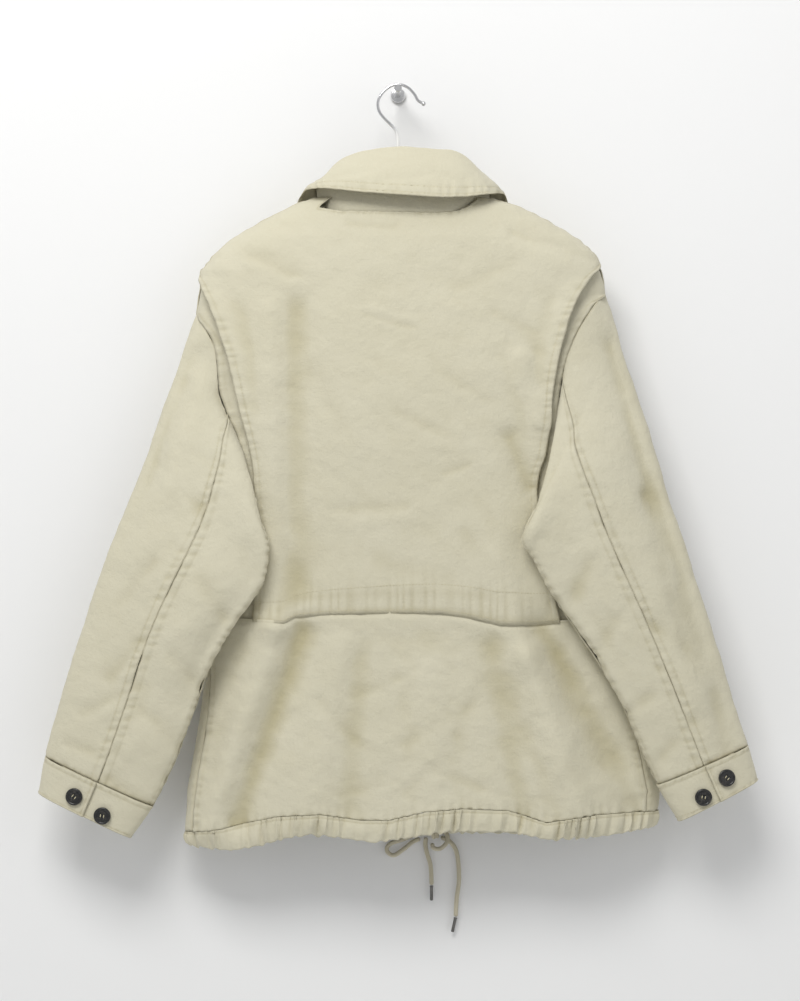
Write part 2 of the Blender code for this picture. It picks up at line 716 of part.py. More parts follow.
def sleeve_fold(side, along, around):
    total = 0
    share = along / CUFF_START
    for place, turn, reach_along, reach_around, height in SLEEVE_FOLDS[side]:
        far = ((share - place) / reach_along) ** 2 + ((around - turn) / reach_around) ** 2
        total += height * math.exp(-far)
    return total * smooth(share / FOLD_FADE[0]) * smooth((1 - share) / FOLD_FADE[1])


def over_body(side, point):
    """1 where the body's cloth lies under the sleeve, and 0 outside the armhole's edge."""
    edge = table_row(ARMHOLE[side], point.z, 1)[0]
    inside = (edge - point.x) * side_sign(side)
    top, bottom = ARMHOLE[side][0][1], ARMHOLE[side][-1][1]
    closed = mix(top, bottom, ARMHOLE_OPEN_SHARE)
    return max(smooth((inside + OVERLAP_START) / OVERLAP_REACH),
               smooth((closed - point.z) / ARMHOLE_CLOSE))


def keep_clear(point, clearance):
    """Move a point out of the body's section, wider by the clearance, along its radius."""
    centre, half, side, back, front = body_size(point.z)
    across = point.x - centre
    deep = point.y - side
    reach = (back if deep < 0 else front) + clearance
    size = (abs(across) / (half + clearance)) ** SECTION_POWER \
        + (abs(deep) / reach) ** SECTION_POWER
    size = size ** (1 / SECTION_POWER)
    if size >= 1:
        return point
    return Vector((centre + across / size, side + deep / size, point.z))


def step_over(point, step):
    """Move a point of the armhole seam straight back, to lie over the body's cloth."""
    centre, half, middle, back, _ = body_size(point.z)
    across = abs(point.x - centre) / (half + step)
    if across >= 1 or step <= 0:
        return point
    skin = middle - (back + step) * (1 - across ** SECTION_POWER) ** (1 / SECTION_POWER)
    return Vector((point.x, min(point.y, skin), point.z))


def sleeve_point(side, along, around):
    around = around % 1
    point = sleeve_form(side, along, around)
    blend = smooth(along / SLEEVE_RINGS_START)
    point += (ring_point(side, around) - sleeve_form(side, 0, around)) * (1 - blend)
    point.y -= sleeve_fold(side, along, around)
    folds = max(0, fold_height(point.x, point.z))
    near_seam = smooth((around - STEP_SPAN["from"]) / STEP_SPAN["rise"]) \
        * smooth((STEP_SPAN["to"] - around) / STEP_SPAN["fall"])
    point = step_over(point, SEAM_STEP * near_seam)
    clearance = SLEEVE_CLEARANCE * smooth(along / SLEEVE_SETTLE) + folds
    if around < 0.5:
        clearance += SLEEVE_LAYER * smooth((0.5 - around) / LAYER_FADE) \
            * smooth(along / LAYER_SETTLE)
    return point.lerp(keep_clear(point, clearance), over_body(side, point))


def sleeve_normal(side, along, around):
    step = NORMAL_STEP["around"]
    low, high = max(0, along - NORMAL_STEP["along"]), along + NORMAL_STEP["along"]
    round_it = sleeve_point(side, along, around + step) - sleeve_point(side, along, around - step)
    down_it = sleeve_point(side, high, around) - sleeve_point(side, low, around)
    normal = round_it.cross(down_it).normalized()
    return normal if side == "l" else -normal


def sleeve_rows(side, alongs, arounds, lift=0):
    rows = []
    for along in alongs:
        row = []
        for around in arounds:
            normal = sleeve_normal(side, along, around)
            row.append((sleeve_point(side, along, around) + normal * lift, normal))
        rows.append(row if side == "l" else row[::-1])
    return rows


def build_sleeve(side):
    count = 2 * (len(ARMHOLE[side]) - 1)
    seam = BACK_SEAM_SHARE
    half = count // 2
    alongs = list(SLEEVE_START_ROWS) + [mix(SLEEVE_RINGS_START, CUFF_START, row / SLEEVE_ROWS)
                                        for row in range(SLEEVE_ROWS + 1)]
    upper = [step / count for step in range(half, count + seam + 1)]
    under = [step / count for step in range(seam, half + 1)]
    Wall(sleeve_rows(side, alongs, upper), WALL).shrink(SEAM_GAP).build(f"sleeve_{side}_upper", "cloth")
    Wall(sleeve_rows(side, alongs, under), WALL).shrink(SEAM_GAP).build(f"sleeve_{side}_under", "cloth")


def cuff_lift(side, around):
    """The cuff's lapping end lies over its starting end."""
    past = around - CUFFS[side]["start"] - 1 + CUFF_RAMP
    return CUFF_LIFT + (CUFF_WALL + SEAM_GAP + CUFF_LAP_ROOM) * smooth(past / CUFF_RAMP)


def build_cuff(side):
    start, lap = CUFFS[side]["start"], CUFFS[side]["lap"]
    rows = []
    lines = (CUFF_START + CUFF_TOP_GAP, CUFF_START + CUFF_MIDDLE, len(SLEEVES[side]) - 1)
    for along in lines:
        row = []
        for step in range(CUFF_COLUMNS + 1):
            around = start + (1 + lap) * step / CUFF_COLUMNS
            normal = sleeve_normal(side, along, around)
            row.append((sleeve_point(side, along, around) + normal * cuff_lift(side, around),
                        normal))
        rows.append(row if side == "l" else row[::-1])
    Wall(rows, CUFF_WALL).build(f"cuff_{side}", "cloth")


def collar_point(share, column):
    """Point of a collar line: column 0 is the neck seam, 3 the fold and 6 the leaf's edge."""
    points = [row[column:column + 3] for row in COLLAR_SECTIONS]
    return Vector(curve_point(points, share))


def grid_normals(points):
    """Rows of points with the normals of the sheet that they make."""
    rows = []
    for row, line in enumerate(points):
        made = []
        for column, point in enumerate(line):
            across = line[min(column + 1, len(line) - 1)] - line[max(column - 1, 0)]
            upper, lower = points[max(row - 1, 0)], points[min(row + 1, len(points) - 1)]
            down = lower[column] - upper[column]
            made.append((point, down.cross(across).normalized()))
        rows.append(made)
    return rows


def build_collar():
    shares = [step / COLLAR_COLUMNS for step in range(COLLAR_COLUMNS + 1)]
    stand, leaf = [], []
    for drop in STAND_LINES:
        stand.append([collar_point(share, 3).lerp(collar_point(share, 0), drop)
                      + Vector((0, 0, SEAM_LIFT * drop)) for share in shares])
    for drop in LEAF_LINES:
        line = []
        for share in shares:
            fold, edge = collar_point(share, 3), collar_point(share, 6)
            away = Vector((fold.x - NECK_CENTRE, fold.y, 0)).normalized()
            out = LEAF_RISE * drop if drop < 0 else LEAF_RISE
            out += LEAF_BULGE * math.sin(math.pi * clamp(drop))
            line.append(fold.lerp(edge, clamp(drop)) + away * out + Vector((0, 0, LEAF_RISE)))
        leaf.append(line)
    Wall(grid_normals(stand), COLLAR_WALL).build("collar_stand", "cloth")
    Wall(grid_normals(leaf), COLLAR_WALL).build("collar_leaf", "cloth")


def build_button(name, centre, normal):
    """A flat round button with a raised rim and four holes, lying on the cloth."""
    mesh = bmesh.new()
    bmesh.ops.create_circle(mesh, cap_ends=True, radius=BUTTON_RADIUS * MM, segments=BUTTON_SIDES)
    floor = mesh.faces[:]
    raised = bmesh.ops.extrude_face_region(mesh, geom=floor)
    top = [item for item in raised["geom"] if isinstance(item, bmesh.types.BMFace)]
    corners = [item for item in raised["geom"] if isinstance(item, bmesh.types.BMVert)]
    bmesh.ops.translate(mesh, verts=corners, vec=(0, 0, BUTTON_THICKNESS * MM))
    bmesh.ops.inset_region(mesh, faces=top, thickness=BUTTON_RIM * MM, depth=-BUTTON_DISH * MM)
    turn = normal.to_track_quat("Z", "Y").to_matrix().to_4x4()
    turn.translation = (centre + normal * BUTTON_LIFT) * MM
    bmesh.ops.transform(mesh, matrix=turn, verts=mesh.verts)
    finish_mesh(mesh, name, "button")


def build_buttons():
    for side in "lr":
        for number, (around, share, layer) in enumerate(CUFFS[side]["buttons"], 1):
            along = mix(CUFF_START, len(SLEEVES[side]) - 1, share)
            normal = sleeve_normal(side, along, around)
            out = cuff_lift(side, around + layer) + BUTTON_SEAT
            build_button(f"cuff_button_{side}_{number}",
                         sleeve_point(side, along, around) + normal * out, normal)
    for number, level in enumerate(FRONT_BUTTON_LEVELS, 1):
        normal = body_normal(2, level)
        out = FRONT_LAP_LIFT + BUTTON_SEAT / 4
        build_button(f"front_button_{number}", body_point(2, level) + normal * out, normal)


def smooth_route(points, step):
    """A smooth curve through the points, with a point every step."""
    fine = [Vector(curve_point(points, index / 400)) for index in range(401)]
    length = sum((b - a).length for a, b in zip(fine, fine[1:]))
    count = max(4, round(length / step))
    route, travelled, target = [fine[0]], 0.0, length / count
    for a, b in zip(fine, fine[1:]):
        travelled += (b - a).length
        if travelled >= target and len(route) < count:
            route.append(b)
            target += length / count
    return route + [fine[-1]]


def build_tube(name, points, radius, paint, step, sides=2):
    curve = bpy.data.curves.new(name, "CURVE")
    curve.dimensions = "3D"
    curve.bevel_depth = radius * MM
    curve.bevel_resolution = sides
    curve.use_fill_caps = True
    spline = curve.splines.new("POLY")
    route = smooth_route(points, step)
    spline.points.add(len(route) - 1)
    for place, point in zip(spline.points, route):
        place.co = (*(point * MM), 1)
    made = bpy.data.objects.new(name, curve)
    bpy.context.collection.objects.link(made)
    curve.materials.append(material(paint))


def build_round(name, centre, size, paint, axis=None):
    """A ball, or a cylinder along the axis, of the given size."""
    mesh = bmesh.new()
    if axis is None:
        bmesh.ops.create_uvsphere(mesh, u_segments=12, v_segments=8, radius=1)
        bmesh.ops.scale(mesh, vec=[part * MM for part in size], verts=mesh.verts)
    else:
        radius, length = size
        bmesh.ops.create_cone(mesh, cap_ends=True, segments=20, radius1=radius * MM,
                              radius2=radius * MM, depth=length * MM)
        turn = Vector(axis).to_track_quat("Z", "Y").to_matrix()
        bmesh.ops.rotate(mesh, matrix=turn, verts=mesh.verts)
    bmesh.ops.translate(mesh, verts=mesh.verts, vec=Vector(centre) * MM)
    finish_mesh(mesh, name, paint)


def build_drawcord():
    for name, route in CORD_ROUTES.items():
        build_tube(name, route, CORD_RADIUS, "cord", CORD_STEP)
    build_round("drawcord_knot", KNOT_CENTRE, KNOT_SIZE, "cord")
    for name, (top, lean) in AGLETS.items():
        fall = Vector((lean, 0, -1)).normalized()
        build_round(name, Vector(top) + fall * AGLET_LENGTH / 2, (AGLET_RADIUS, AGLET_LENGTH),
                    "gunmetal", fall)


def build_hanger():
    build_tube("hanger_hook", HOOK_ROUTE, HOOK_RADIUS, "chrome", HOOK_STEP)
    tip = Vector(HOOK_ROUTE[0])
    back = (tip - Vector(HOOK_ROUTE[1])).normalized()
    build_round("hanger_hook_tip", tip + back * (HOOK_TIP_RADIUS + SEAM_GAP),
                (HOOK_TIP_RADIUS,) * 3, "chrome")
    build_tube("hanger_arms", ARM_ROUTE, ARM_RADIUS, "white_plastic", ARM_STEP)


def build_peg():
    """A peg that stands out of a round wall flange, under the crown of the hook."""
    flange = WALL_DEPTH - PEG_FLANGE_THICKNESS / 2
    build_round("peg_flange", (0, flange, 0),
                (PEG_FLANGE_RADIUS, PEG_FLANGE_THICKNESS), "chrome", (0, 1, 0))
    reach = WALL_DEPTH - PEG_FLANGE_THICKNESS - SEAM_GAP
    shank = reach + PEG_OVERHANG
    build_round("peg_shank", (0, reach - shank / 2, 0),
                (PEG_RADIUS, shank), "chrome", (0, 1, 0))
    head = -PEG_OVERHANG - SEAM_GAP - PEG_HEAD_THICKNESS / 2
    build_round("peg_head", (0, head, 0),
                (PEG_HEAD_RADIUS, PEG_HEAD_THICKNESS), "chrome", (0, 1, 0))


def main():
    clear_scene()
    build_back()
    build_cape()
    build_skirt()
    for side in "lr":
        build_front(side)
        build_sleeve(side)
        build_cuff(side)
    build_casing()
    build_collar()
    build_buttons()
    build_drawcord()
    build_hanger()
    build_peg()


main()
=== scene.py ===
import math

import bmesh
import bpy
import numpy as np
from mathutils import Euler, Matrix, Vector, noise


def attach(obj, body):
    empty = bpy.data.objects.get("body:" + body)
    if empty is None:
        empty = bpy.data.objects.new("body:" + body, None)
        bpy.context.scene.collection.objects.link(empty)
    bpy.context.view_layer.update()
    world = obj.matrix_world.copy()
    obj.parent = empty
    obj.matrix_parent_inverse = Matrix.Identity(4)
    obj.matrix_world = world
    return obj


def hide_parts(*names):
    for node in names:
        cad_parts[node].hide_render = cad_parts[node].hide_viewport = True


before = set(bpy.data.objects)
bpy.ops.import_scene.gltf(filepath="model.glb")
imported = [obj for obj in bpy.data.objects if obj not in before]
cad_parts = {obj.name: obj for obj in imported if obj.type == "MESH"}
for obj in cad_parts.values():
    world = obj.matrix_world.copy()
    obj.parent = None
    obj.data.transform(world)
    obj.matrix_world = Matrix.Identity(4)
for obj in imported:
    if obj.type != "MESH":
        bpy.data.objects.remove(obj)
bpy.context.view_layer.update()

# A chore jacket on a wire hanger, hung on a wall peg with its back to the camera.
# Tables and sizes are in millimetres; a mesh is scaled by mm when it is made.
# x runs to the viewer's right, y to the wall and z up; 0 is the peg under the hook.
mm = 0.001

view = {"x": 2.12, "level": -436.2, "distance": 3000, "lens": 101.79}


def placeCamera():
    lens = bpy.data.cameras.new("camera")
    lens.lens = view["lens"]
    lens.clip_end = 20
    made = bpy.data.objects.new("camera", lens)
    bpy.context.collection.objects.link(made)
    made.location = (view["x"] * mm, -view["distance"] * mm, view["level"] * mm)
    made.rotation_euler = (math.pi / 2, 0, 0)
    bpy.context.scene.camera = made


placeCamera()
print("camera placed")


def between(value, low=0.0, high=1.0):
    return np.minimum(np.maximum(value, low), high)


def ease(value):
    value = between(value)
    return value * value * (3 - 2 * value)


def lerp(first, second, share):
    return first + (second - first) * share


def bell(value):
    return np.exp(-value * value)


def signedPower(value, exponent):
    return np.copysign(np.abs(value) ** exponent, value)


def stack(x, y, z):
    return np.stack(np.broadcast_arrays(x, y, z), axis=-1).astype(float)


def lengths(vectors):
    return np.sqrt((vectors * vectors).sum(axis=-1))


def unit(vectors):
    return vectors / np.maximum(lengths(vectors), 1e-9)[..., None]


def spread(grid, reach, axis):
    # running mean of a grid of points along one of its axes
    pad = [(0, 0)] * grid.ndim
    pad[axis] = (reach + 1, reach)
    total = np.cumsum(np.pad(grid, pad, mode="edge"), axis=axis)
    size = grid.shape[axis]
    ahead = np.take(total, np.arange(2 * reach + 1, 2 * reach + 1 + size), axis)
    return (ahead - np.take(total, np.arange(size), axis)) / (2 * reach + 1)


def readTable(table, key, by=0):
    # every column of a table at the keys, with straight runs between its rows
    rows = sorted(table, key=lambda row: row[by])
    keys = [row[by] for row in rows]
    return [np.interp(key, keys, [row[column] for row in rows])
            for column in range(len(rows[0]))]


def curveAt(points, share):
    # a smooth curve through the points, at a share of its point count
    points = np.asarray(points, float)
    last = len(points) - 1
    place = between(np.asarray(share, float)) * last
    first = np.minimum(place.astype(int), last - 1)
    t = (place - first)[..., None]
    a, b, c, d = (points[np.clip(first + step, 0, last)] for step in (-1, 0, 1, 2))
    return 0.5 * (2 * b + (c - a) * t + (2 * a - 5 * b + 4 * c - d) * t ** 2
                  + (3 * b - a - 3 * c + d) * t ** 3)


def seamLine(*runs):
    # several runs of (turn, level) points, each smooth in itself, as one line from 0 to 1
    counts = [len(run) - 1 for run in runs]

    def at(share):
        place = share * sum(counts)
        line, start = None, 0
        for run, count in zip(runs, counts):
            here = curveAt(run, (place - start) / count)
            line = here if line is None else np.where((place > start)[..., None], here, line)
            start += count
        return line[..., 0], line[..., 1]

    return at


def crumple(x, y, size, seed, stretch=1.0, lean=0.0):
    # soft uneven noise from -1 to 1; stretch draws it out along a line that leans
    x, y = np.broadcast_arrays(x, y)
    cos, sin = math.cos(math.radians(lean)), math.sin(math.radians(lean))
    along = ((x * cos + y * sin) / (size * stretch)).ravel()
    across = ((y * cos - x * sin) / size).ravel()
    flat = [noise.noise((a, b, seed)) for a, b in zip(along, across)]
    return np.array(flat).reshape(x.shape)


def crease(x, z, rows):
    # sum of soft folds: (x, z) to (x, z), half width on each side of the line, height
    total = np.zeros(np.broadcast(x, z).shape)
    for x0, z0, x1, z1, wideLeft, wideRight, height in rows:
        dx, dz = x1 - x0, z1 - z0
        size = dx * dx + dz * dz
        share = ((x - x0) * dx + (z - z0) * dz) / size
        near = between(share)
        offX, offZ = x - x0 - near * dx, z - z0 - near * dz
        side = offX * dz - offZ * dx
        wide = np.where(side > 0, wideLeft, wideRight)
        total = total + height * np.exp(-(offX * offX + offZ * offZ) / wide ** 2)
    return total


def seamBand(away, run, width, seed, lift=0.5, pucker=0.6, pitch=11.0):
    # a sewn edge: its rolled rim, the layers under it, the row of sewing and its puckers;
    # away is the distance from the edge and run the distance along it
    rim = bell(away / 1.0)
    row = bell((away - width) / 1.1)
    layers = ease(1 - (away - width + 0.8) / 1.6)
    beat = 2 * math.pi * run / pitch + 2.2 * np.sin(run * 0.071 + seed) \
        + 1.4 * np.sin(run * 0.19 + seed * 3)
    uneven = 0.35 + 0.65 * np.abs(np.sin(run * 0.037 + seed * 1.7))
    near = bell((away - 0.7 * width) / (0.75 * width))
    ripple = np.sin(beat) * uneven * near
    height = -0.35 * rim + lift * layers - 0.4 * row + pucker * ripple
    # painted shade on the rim, along the sewing row and in the hollows of the puckers
    paintedShade = 0.26 * rim + 0.16 * row + 0.3 * between(-ripple) * near
    return height, paintedShade


class Wire:
    # an output socket that can stand in a sum
    def __init__(self, finish, socket):
        self.finish, self.socket = finish, socket

    def sums(self, operation, *others):
        values = dict(enumerate([self, *others]))
        return self.finish.node("ShaderNodeMath", {"operation": operation}, values)

    def __add__(self, other):
        return self.sums("ADD", other)

    def __mul__(self, other):
        return self.sums("MULTIPLY", other)

    def __sub__(self, other):
        return self.sums("SUBTRACT", other)

    def __rsub__(self, other):
        return self * -1 + other

    def __pow__(self, other):
        return self.sums("POWER", other)

    __radd__ = __add__
    __rmul__ = __mul__

    def clamped(self):
        made = self + 0.0
        made.socket.node.use_clamp = True
        return made


class Finish:
    # a material of Principled nodes; constants are set on its own sockets
    def __init__(self, name, constants):
        self.material = bpy.data.materials.new(name)
        self.material.use_nodes = True
        self.tree = self.material.node_tree
        self.shader = self.tree.nodes["Principled BSDF"]
        for socket, value in constants.items():
            self.shader.inputs[socket].default_value = value
        self.objectPlace = self.node("ShaderNodeTexCoord", {}, {}, "Object")
        self.sheetPlace = self.node("ShaderNodeTexCoord", {}, {}, "UV")

    def node(self, kind, settings, values, output=0):
        made = self.tree.nodes.new(kind)
        for setting, value in settings.items():
            setattr(made, setting, value)
        for socket, value in values.items():
            self.feed(made.inputs[socket], value)
        return Wire(self, made.outputs[output])

    def feed(self, socket, value):
        if isinstance(value, Wire):
            self.tree.links.new(value.socket, socket)
        else:
            socket.default_value = value

    def spots(self, scale, detail=2.0, rough=0.5, place=None, stretch=(1, 1, 1), turn=0.0):
        spread = self.node("ShaderNodeMapping", {}, {
            "Vector": place or self.objectPlace, "Scale": stretch,
            "Rotation": (0, math.radians(turn), 0)})
        return self.node("ShaderNodeTexNoise", {}, {
            "Vector": spread, "Scale": scale, "Detail": detail, "Roughness": rough})

    def blend(self, first, second, share):
        return self.node("ShaderNodeMix", {"data_type": "RGBA"},
                         {0: share, 6: (*first, 1) if isinstance(first, tuple) else first,
                          7: (*second, 1) if isinstance(second, tuple) else second}, 2)

    def painted(self, name):
        return self.node("ShaderNodeAttribute", {"attribute_name": name}, {}, "Fac")

    def bump(self, height, distance, strength=1.0, under=None):
        values = {"Height": height, "Distance": distance, "Strength": strength}
        if under:
            values["Normal"] = under
        return self.node("ShaderNodeBump", {}, values)

    def set(self, **links):
        for socket, value in links.items():
            self.feed(self.shader.inputs[socket.replace("_", " ")], value)
        return self.material


cotton = {
    "colour": (0.610, 0.575, 0.440), "faded": (0.665, 0.632, 0.505),
    # shade is a darker random tone; seam and the colour after it are painted shade, for seam edges,
    # sewing rows and pucker and crease hollows, and for the hollows of the folds
    "shade": (0.550, 0.508, 0.365), "seam": (0.300, 0.255, 0.125),
    "trough": (0.430, 0.385, 0.230), "roughness": 0.9,
}


def makeCotton(name, seamShadeStrength=0.85):
    cloth = Finish(name, {"Sheen Weight": 0.12, "Sheen Roughness": 0.6,
                          "Specular IOR Level": 0.2})
    mottle = cloth.spots(9, 4, 0.6)
    patches = cloth.spots(38, 5, 0.6)
    worn = ((mottle - 0.42) * 2.2).clamped()
    colour = cloth.blend(cotton["colour"], cotton["faded"], worn * 0.6)
    colour = cloth.blend(colour, cotton["shade"], ((patches - 0.5) * 2.0).clamped() * 0.45)
    warp = cloth.spots(520, 2, 0.5, cloth.sheetPlace, (1, 0.16, 1))
    weft = cloth.spots(520, 2, 0.5, cloth.sheetPlace, (0.16, 1, 1))
    weave = (warp + weft) * 0.5
    colour = cloth.blend(colour, cotton["shade"], ((weave - 0.47) * 3.0).clamped() * 0.22)
    # painted shade in the hollows of the folds, then along seams and in the hollows of puckers and
    # creases
    colour = cloth.blend(colour, cotton["trough"], cloth.painted("trough") * 0.8)
    colour = cloth.blend(colour, cotton["seam"], (cloth.painted("seam") * seamShadeStrength).clamped())
    wrinkles = cloth.spots(34, 8, 0.66)
    slack = cloth.bump(wrinkles, 0.0034, 0.75)
    surface = cloth.bump(weave, 0.0004, 0.7, slack)
    rough = mottle * 0.08 + cotton["roughness"] - 0.04
    return cloth.set(Base_Color=colour, Roughness=rough, Normal=surface)


def makeThread():
    thread = Finish("seam_thread", {"Specular IOR Level": 0.2})
    tone = thread.spots(260, 2)
    colour = thread.blend((0.62, 0.58, 0.42), (0.54, 0.49, 0.33), tone)
    twist = thread.bump(thread.spots(2600, 1), 0.0001, 0.6)
    return thread.set(Base_Color=colour, Roughness=tone * 0.1 + 0.75, Normal=twist)


def makeCordWeave():
    cord = Finish("woven_cord", {"Sheen Weight": 0.2, "Specular IOR Level": 0.2})
    strands = cord.node("ShaderNodeTexWave", {"bands_direction": "DIAGONAL"}, {
        "Vector": cord.sheetPlace, "Scale": 420, "Distortion": 1.2, "Detail": 1.0})
    tone = cord.spots(120, 3)
    colour = cord.blend((0.70, 0.65, 0.51), (0.50, 0.45, 0.31), strands * 0.3 + tone * 0.3)
    return cord.set(Base_Color=colour, Roughness=tone * 0.1 + 0.82,
                    Normal=cord.bump(strands, 0.0004, 0.8))


def makeButtonHorn():
    horn = Finish("marbled_button", {"Specular IOR Level": 0.5, "Coat Weight": 0.25,
                                     "Coat Roughness": 0.15})
    veins = horn.spots(150, 5, 0.7)
    cloud = ((veins - 0.52) * 4.5).clamped()
    colour = horn.blend((0.010, 0.010, 0.010), (0.075, 0.066, 0.055), cloud)
    return horn.set(Base_Color=colour, Roughness=cloud * 0.15 + 0.32,
                    Normal=horn.bump(horn.spots(900, 2), 0.0001, 0.3))


def makeMetal(name, light, dark, roughness, grain):
    metal = Finish(name, {})
    brushed = metal.spots(grain, 4, 0.6)
    return metal.set(Base_Color=metal.blend(light, dark, brushed), Roughness=brushed * 0.12
                     + roughness, Metallic=brushed * 0.02 + 0.97,
                     Normal=metal.bump(metal.spots(grain * 2, 2), 0.00008, 0.3))


def makeHookFinish():
    # bright wire above, white coating on the shank below the level where it fades
    wire = Finish("hook_wire", {})
    height = wire.node("ShaderNodeSeparateXYZ", {}, {0: wire.objectPlace}, "Z")
    coated = ((height + 0.036) * -70).clamped()
    brushed = wire.spots(700, 3)
    metal = wire.blend((0.55, 0.55, 0.56), (0.78, 0.78, 0.79), brushed)
    colour = wire.blend(metal, (0.86, 0.86, 0.85), coated)
    return wire.set(Base_Color=colour, Metallic=(1 - coated) * 0.96,
                    Roughness=coated * 0.22 + brushed * 0.08 + 0.14,
                    Normal=wire.bump(brushed, 0.00005, 0.3))


def makePlastic():
    plastic = Finish("white_plastic", {"Specular IOR Level": 0.4})
    tone = plastic.spots(60, 4)
    return plastic.set(Base_Color=plastic.blend((0.86, 0.86, 0.85), (0.76, 0.76, 0.75), tone),
                       Roughness=tone * 0.15 + 0.35,
                       Normal=plastic.bump(plastic.spots(1500, 2), 0.00005, 0.3))


finishes = {
    "cloth": makeCotton("washed_cotton"), "thread": makeThread(), "cord": makeCordWeave(),
    "button": makeButtonHorn(), "hook": makeHookFinish(), "plastic": makePlastic(),
    "chrome": makeMetal("polished_steel", (0.62, 0.62, 0.63), (0.80, 0.80, 0.80), 0.14, 500),
    "gunmetal": makeMetal("dark_gunmetal", (0.10, 0.10, 0.10), (0.24, 0.235, 0.22), 0.3, 400),
}
print("finishes mixed")


def finishPiece(mesh, name, finish, nodes=(), smoothAngle=None):
    # a bmesh in metres becomes a piece of the scene that rides with the frame
    data = bpy.data.meshes.new(name)
    mesh.to_mesh(data)
    mesh.free()
    made = bpy.data.objects.new(name, data)
    bpy.context.collection.objects.link(made)
    data.materials.append(finishes[finish])
    data.shade_smooth()
    if smoothAngle:
        data.set_sharp_from_angle(angle=math.radians(smoothAngle))
    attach(made, "root")
    if nodes:
        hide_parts(*nodes)
    return made


class Panel:
    # one cut piece of cloth: a bare surface of (across, down) from 0 to 1, and its relief
    def __init__(self, bare, relief, turned=1):
        self.bare, self.relief, self.turned = bare, relief, turned
        steps = np.linspace(0, 1, 61)
        across, down = np.meshgrid(steps, steps)
        grid = bare(across, down)
        self.steps = steps
        self.widths = lengths(np.diff(grid, axis=1)).sum(axis=1)
        self.heights = lengths(np.diff(grid, axis=0)).sum(axis=0)

    def wide(self, down):
        return np.interp(down, self.steps, self.widths)

    def high(self, across):
        return np.interp(across, self.steps, self.heights)

    def slopes(self, surface, across, down, step):
        right = surface(across + step, down) - surface(across - step, down)
        lower = surface(across, down + step) - surface(across, down - step)
        return right, lower

    def out(self, across, down):
        right, lower = self.slopes(self.bare, across, down, 0.004)
        return unit(np.cross(lower, right)) * self.turned

    def edges(self, across, down):
        # distance in mm from the left, right, top and bottom edges
        wide, high = self.wide(down), self.high(across)
        return across * wide, (1 - across) * wide, down * high, (1 - down) * high

    def point(self, across, down):
        across, down = np.broadcast_arrays(np.asarray(across, float), down)
        height, paintedShade = self.relief(self, across, down)
        return self.bare(across, down) + self.out(across, down) * height[..., None], paintedShade

    def trough(self, spots, points, rows):
        # how far a place lies below the cloth round it: the mask of the painted shade in the folds
        order = np.lexsort((spots[:, 0], -spots[:, 1]))
        grid = points[order].reshape(rows, -1, 3)
        reach = [max(1, round(cloth["foldReach"] * count / size)) for count, size in
                 ((rows, self.heights.mean()), (grid.shape[1], self.widths.mean()))]
        mean = spread(spread(grid, reach[0], 0), reach[1], 1)
        out = self.out(spots[order, 0], 1 - spots[order, 1]).reshape(rows, -1, 3)
        below = ((mean - grid) * out).sum(axis=-1).ravel() / cloth["foldDepth"]
        low = np.empty(len(points))
        low[order] = between(below)
        return low

    def sizes(self):
        return round(float(self.widths.max()), 1), round(float(self.heights.max()), 1)

    def make(self, name, columns, rows, nodes, wall=1.3, closed=False):
        mesh = bmesh.new()
        sheetPlace = mesh.loops.layers.uv.verify()
        bmesh.ops.create_grid(mesh, x_segments=columns, y_segments=rows, size=0.5,
                              calc_uvs=True)
        spots = np.array([vert.co[:2] for vert in mesh.verts]) + 0.5
        points, paintedShade = self.point(spots[:, 0], 1 - spots[:, 1])
        # painted shade along seams and in pucker and crease hollows, read by the cloth's material
        seam = mesh.verts.layers.float.new("seam")
        # painted shade in the hollows of the folds, read by the cloth's material
        trough = mesh.verts.layers.float.new("trough")
        low = self.trough(spots, points, rows + 1)
        for vert, place, tone, deep in zip(mesh.verts, points * mm, paintedShade, low):
            vert.co = place
            vert[seam] = float(tone)
            vert[trough] = float(deep)
        wide, high = self.widths.max() * mm, self.heights.max() * mm
        for face in mesh.faces:
            for loop in face.loops:
                loop[sheetPlace].uv = (loop[sheetPlace].uv[0] * wide,
                                       loop[sheetPlace].uv[1] * high)
        if self.turned < 0:
            bmesh.ops.reverse_faces(mesh, faces=mesh.faces)
        if closed:
            bmesh.ops.remove_doubles(mesh, verts=mesh.verts, dist=0.02 * mm)
        made = finishPiece(mesh, name, "cloth", nodes)
        thick = made.modifiers.new("wall", "SOLIDIFY")
        thick.thickness = wall * mm
        thick.offset = -1
        area = sum(face.area for face in made.data.polygons)
        print(name, "wide and high", self.sizes(), "area", round(area, 4))
        return made


cloth = {"foldReach": 24, "foldDepth": 5.0}
sewing = {"pitch": 3.4, "length": 2.5, "width": 0.62, "height": 0.42, "lift": 0.12}
sewn = {}


def sew(panel, group, across, down, pitch=None):
    # a row of stitches along (across, down) points of a panel
    across, down = np.broadcast_arrays(np.asarray(across, float), down)
    share = np.linspace(0, 1, len(across))
    fine = np.linspace(0, 1, 900)
    across, down = np.interp(fine, share, across), np.interp(fine, share, down)
    points, _ = panel.point(across, down)
    travelled = np.concatenate([[0], np.cumsum(lengths(np.diff(points, axis=0)))])
    stops = np.arange(sewing["pitch"] / 2, travelled[-1], pitch or sewing["pitch"])
    at = [np.interp(stops, travelled, points[:, axis]) for axis in range(3)]
    ahead = [np.interp(stops + 1, travelled, points[:, axis]) for axis in range(3)]
    behind = [np.interp(stops - 1, travelled, points[:, axis]) for axis in range(3)]
    along = unit(np.stack(ahead, -1) - np.stack(behind, -1))
    outward = panel.out(np.interp(stops, travelled, across), np.interp(stops, travelled, down))
    sewn.setdefault(group, []).append((np.stack(at, -1), along, outward))


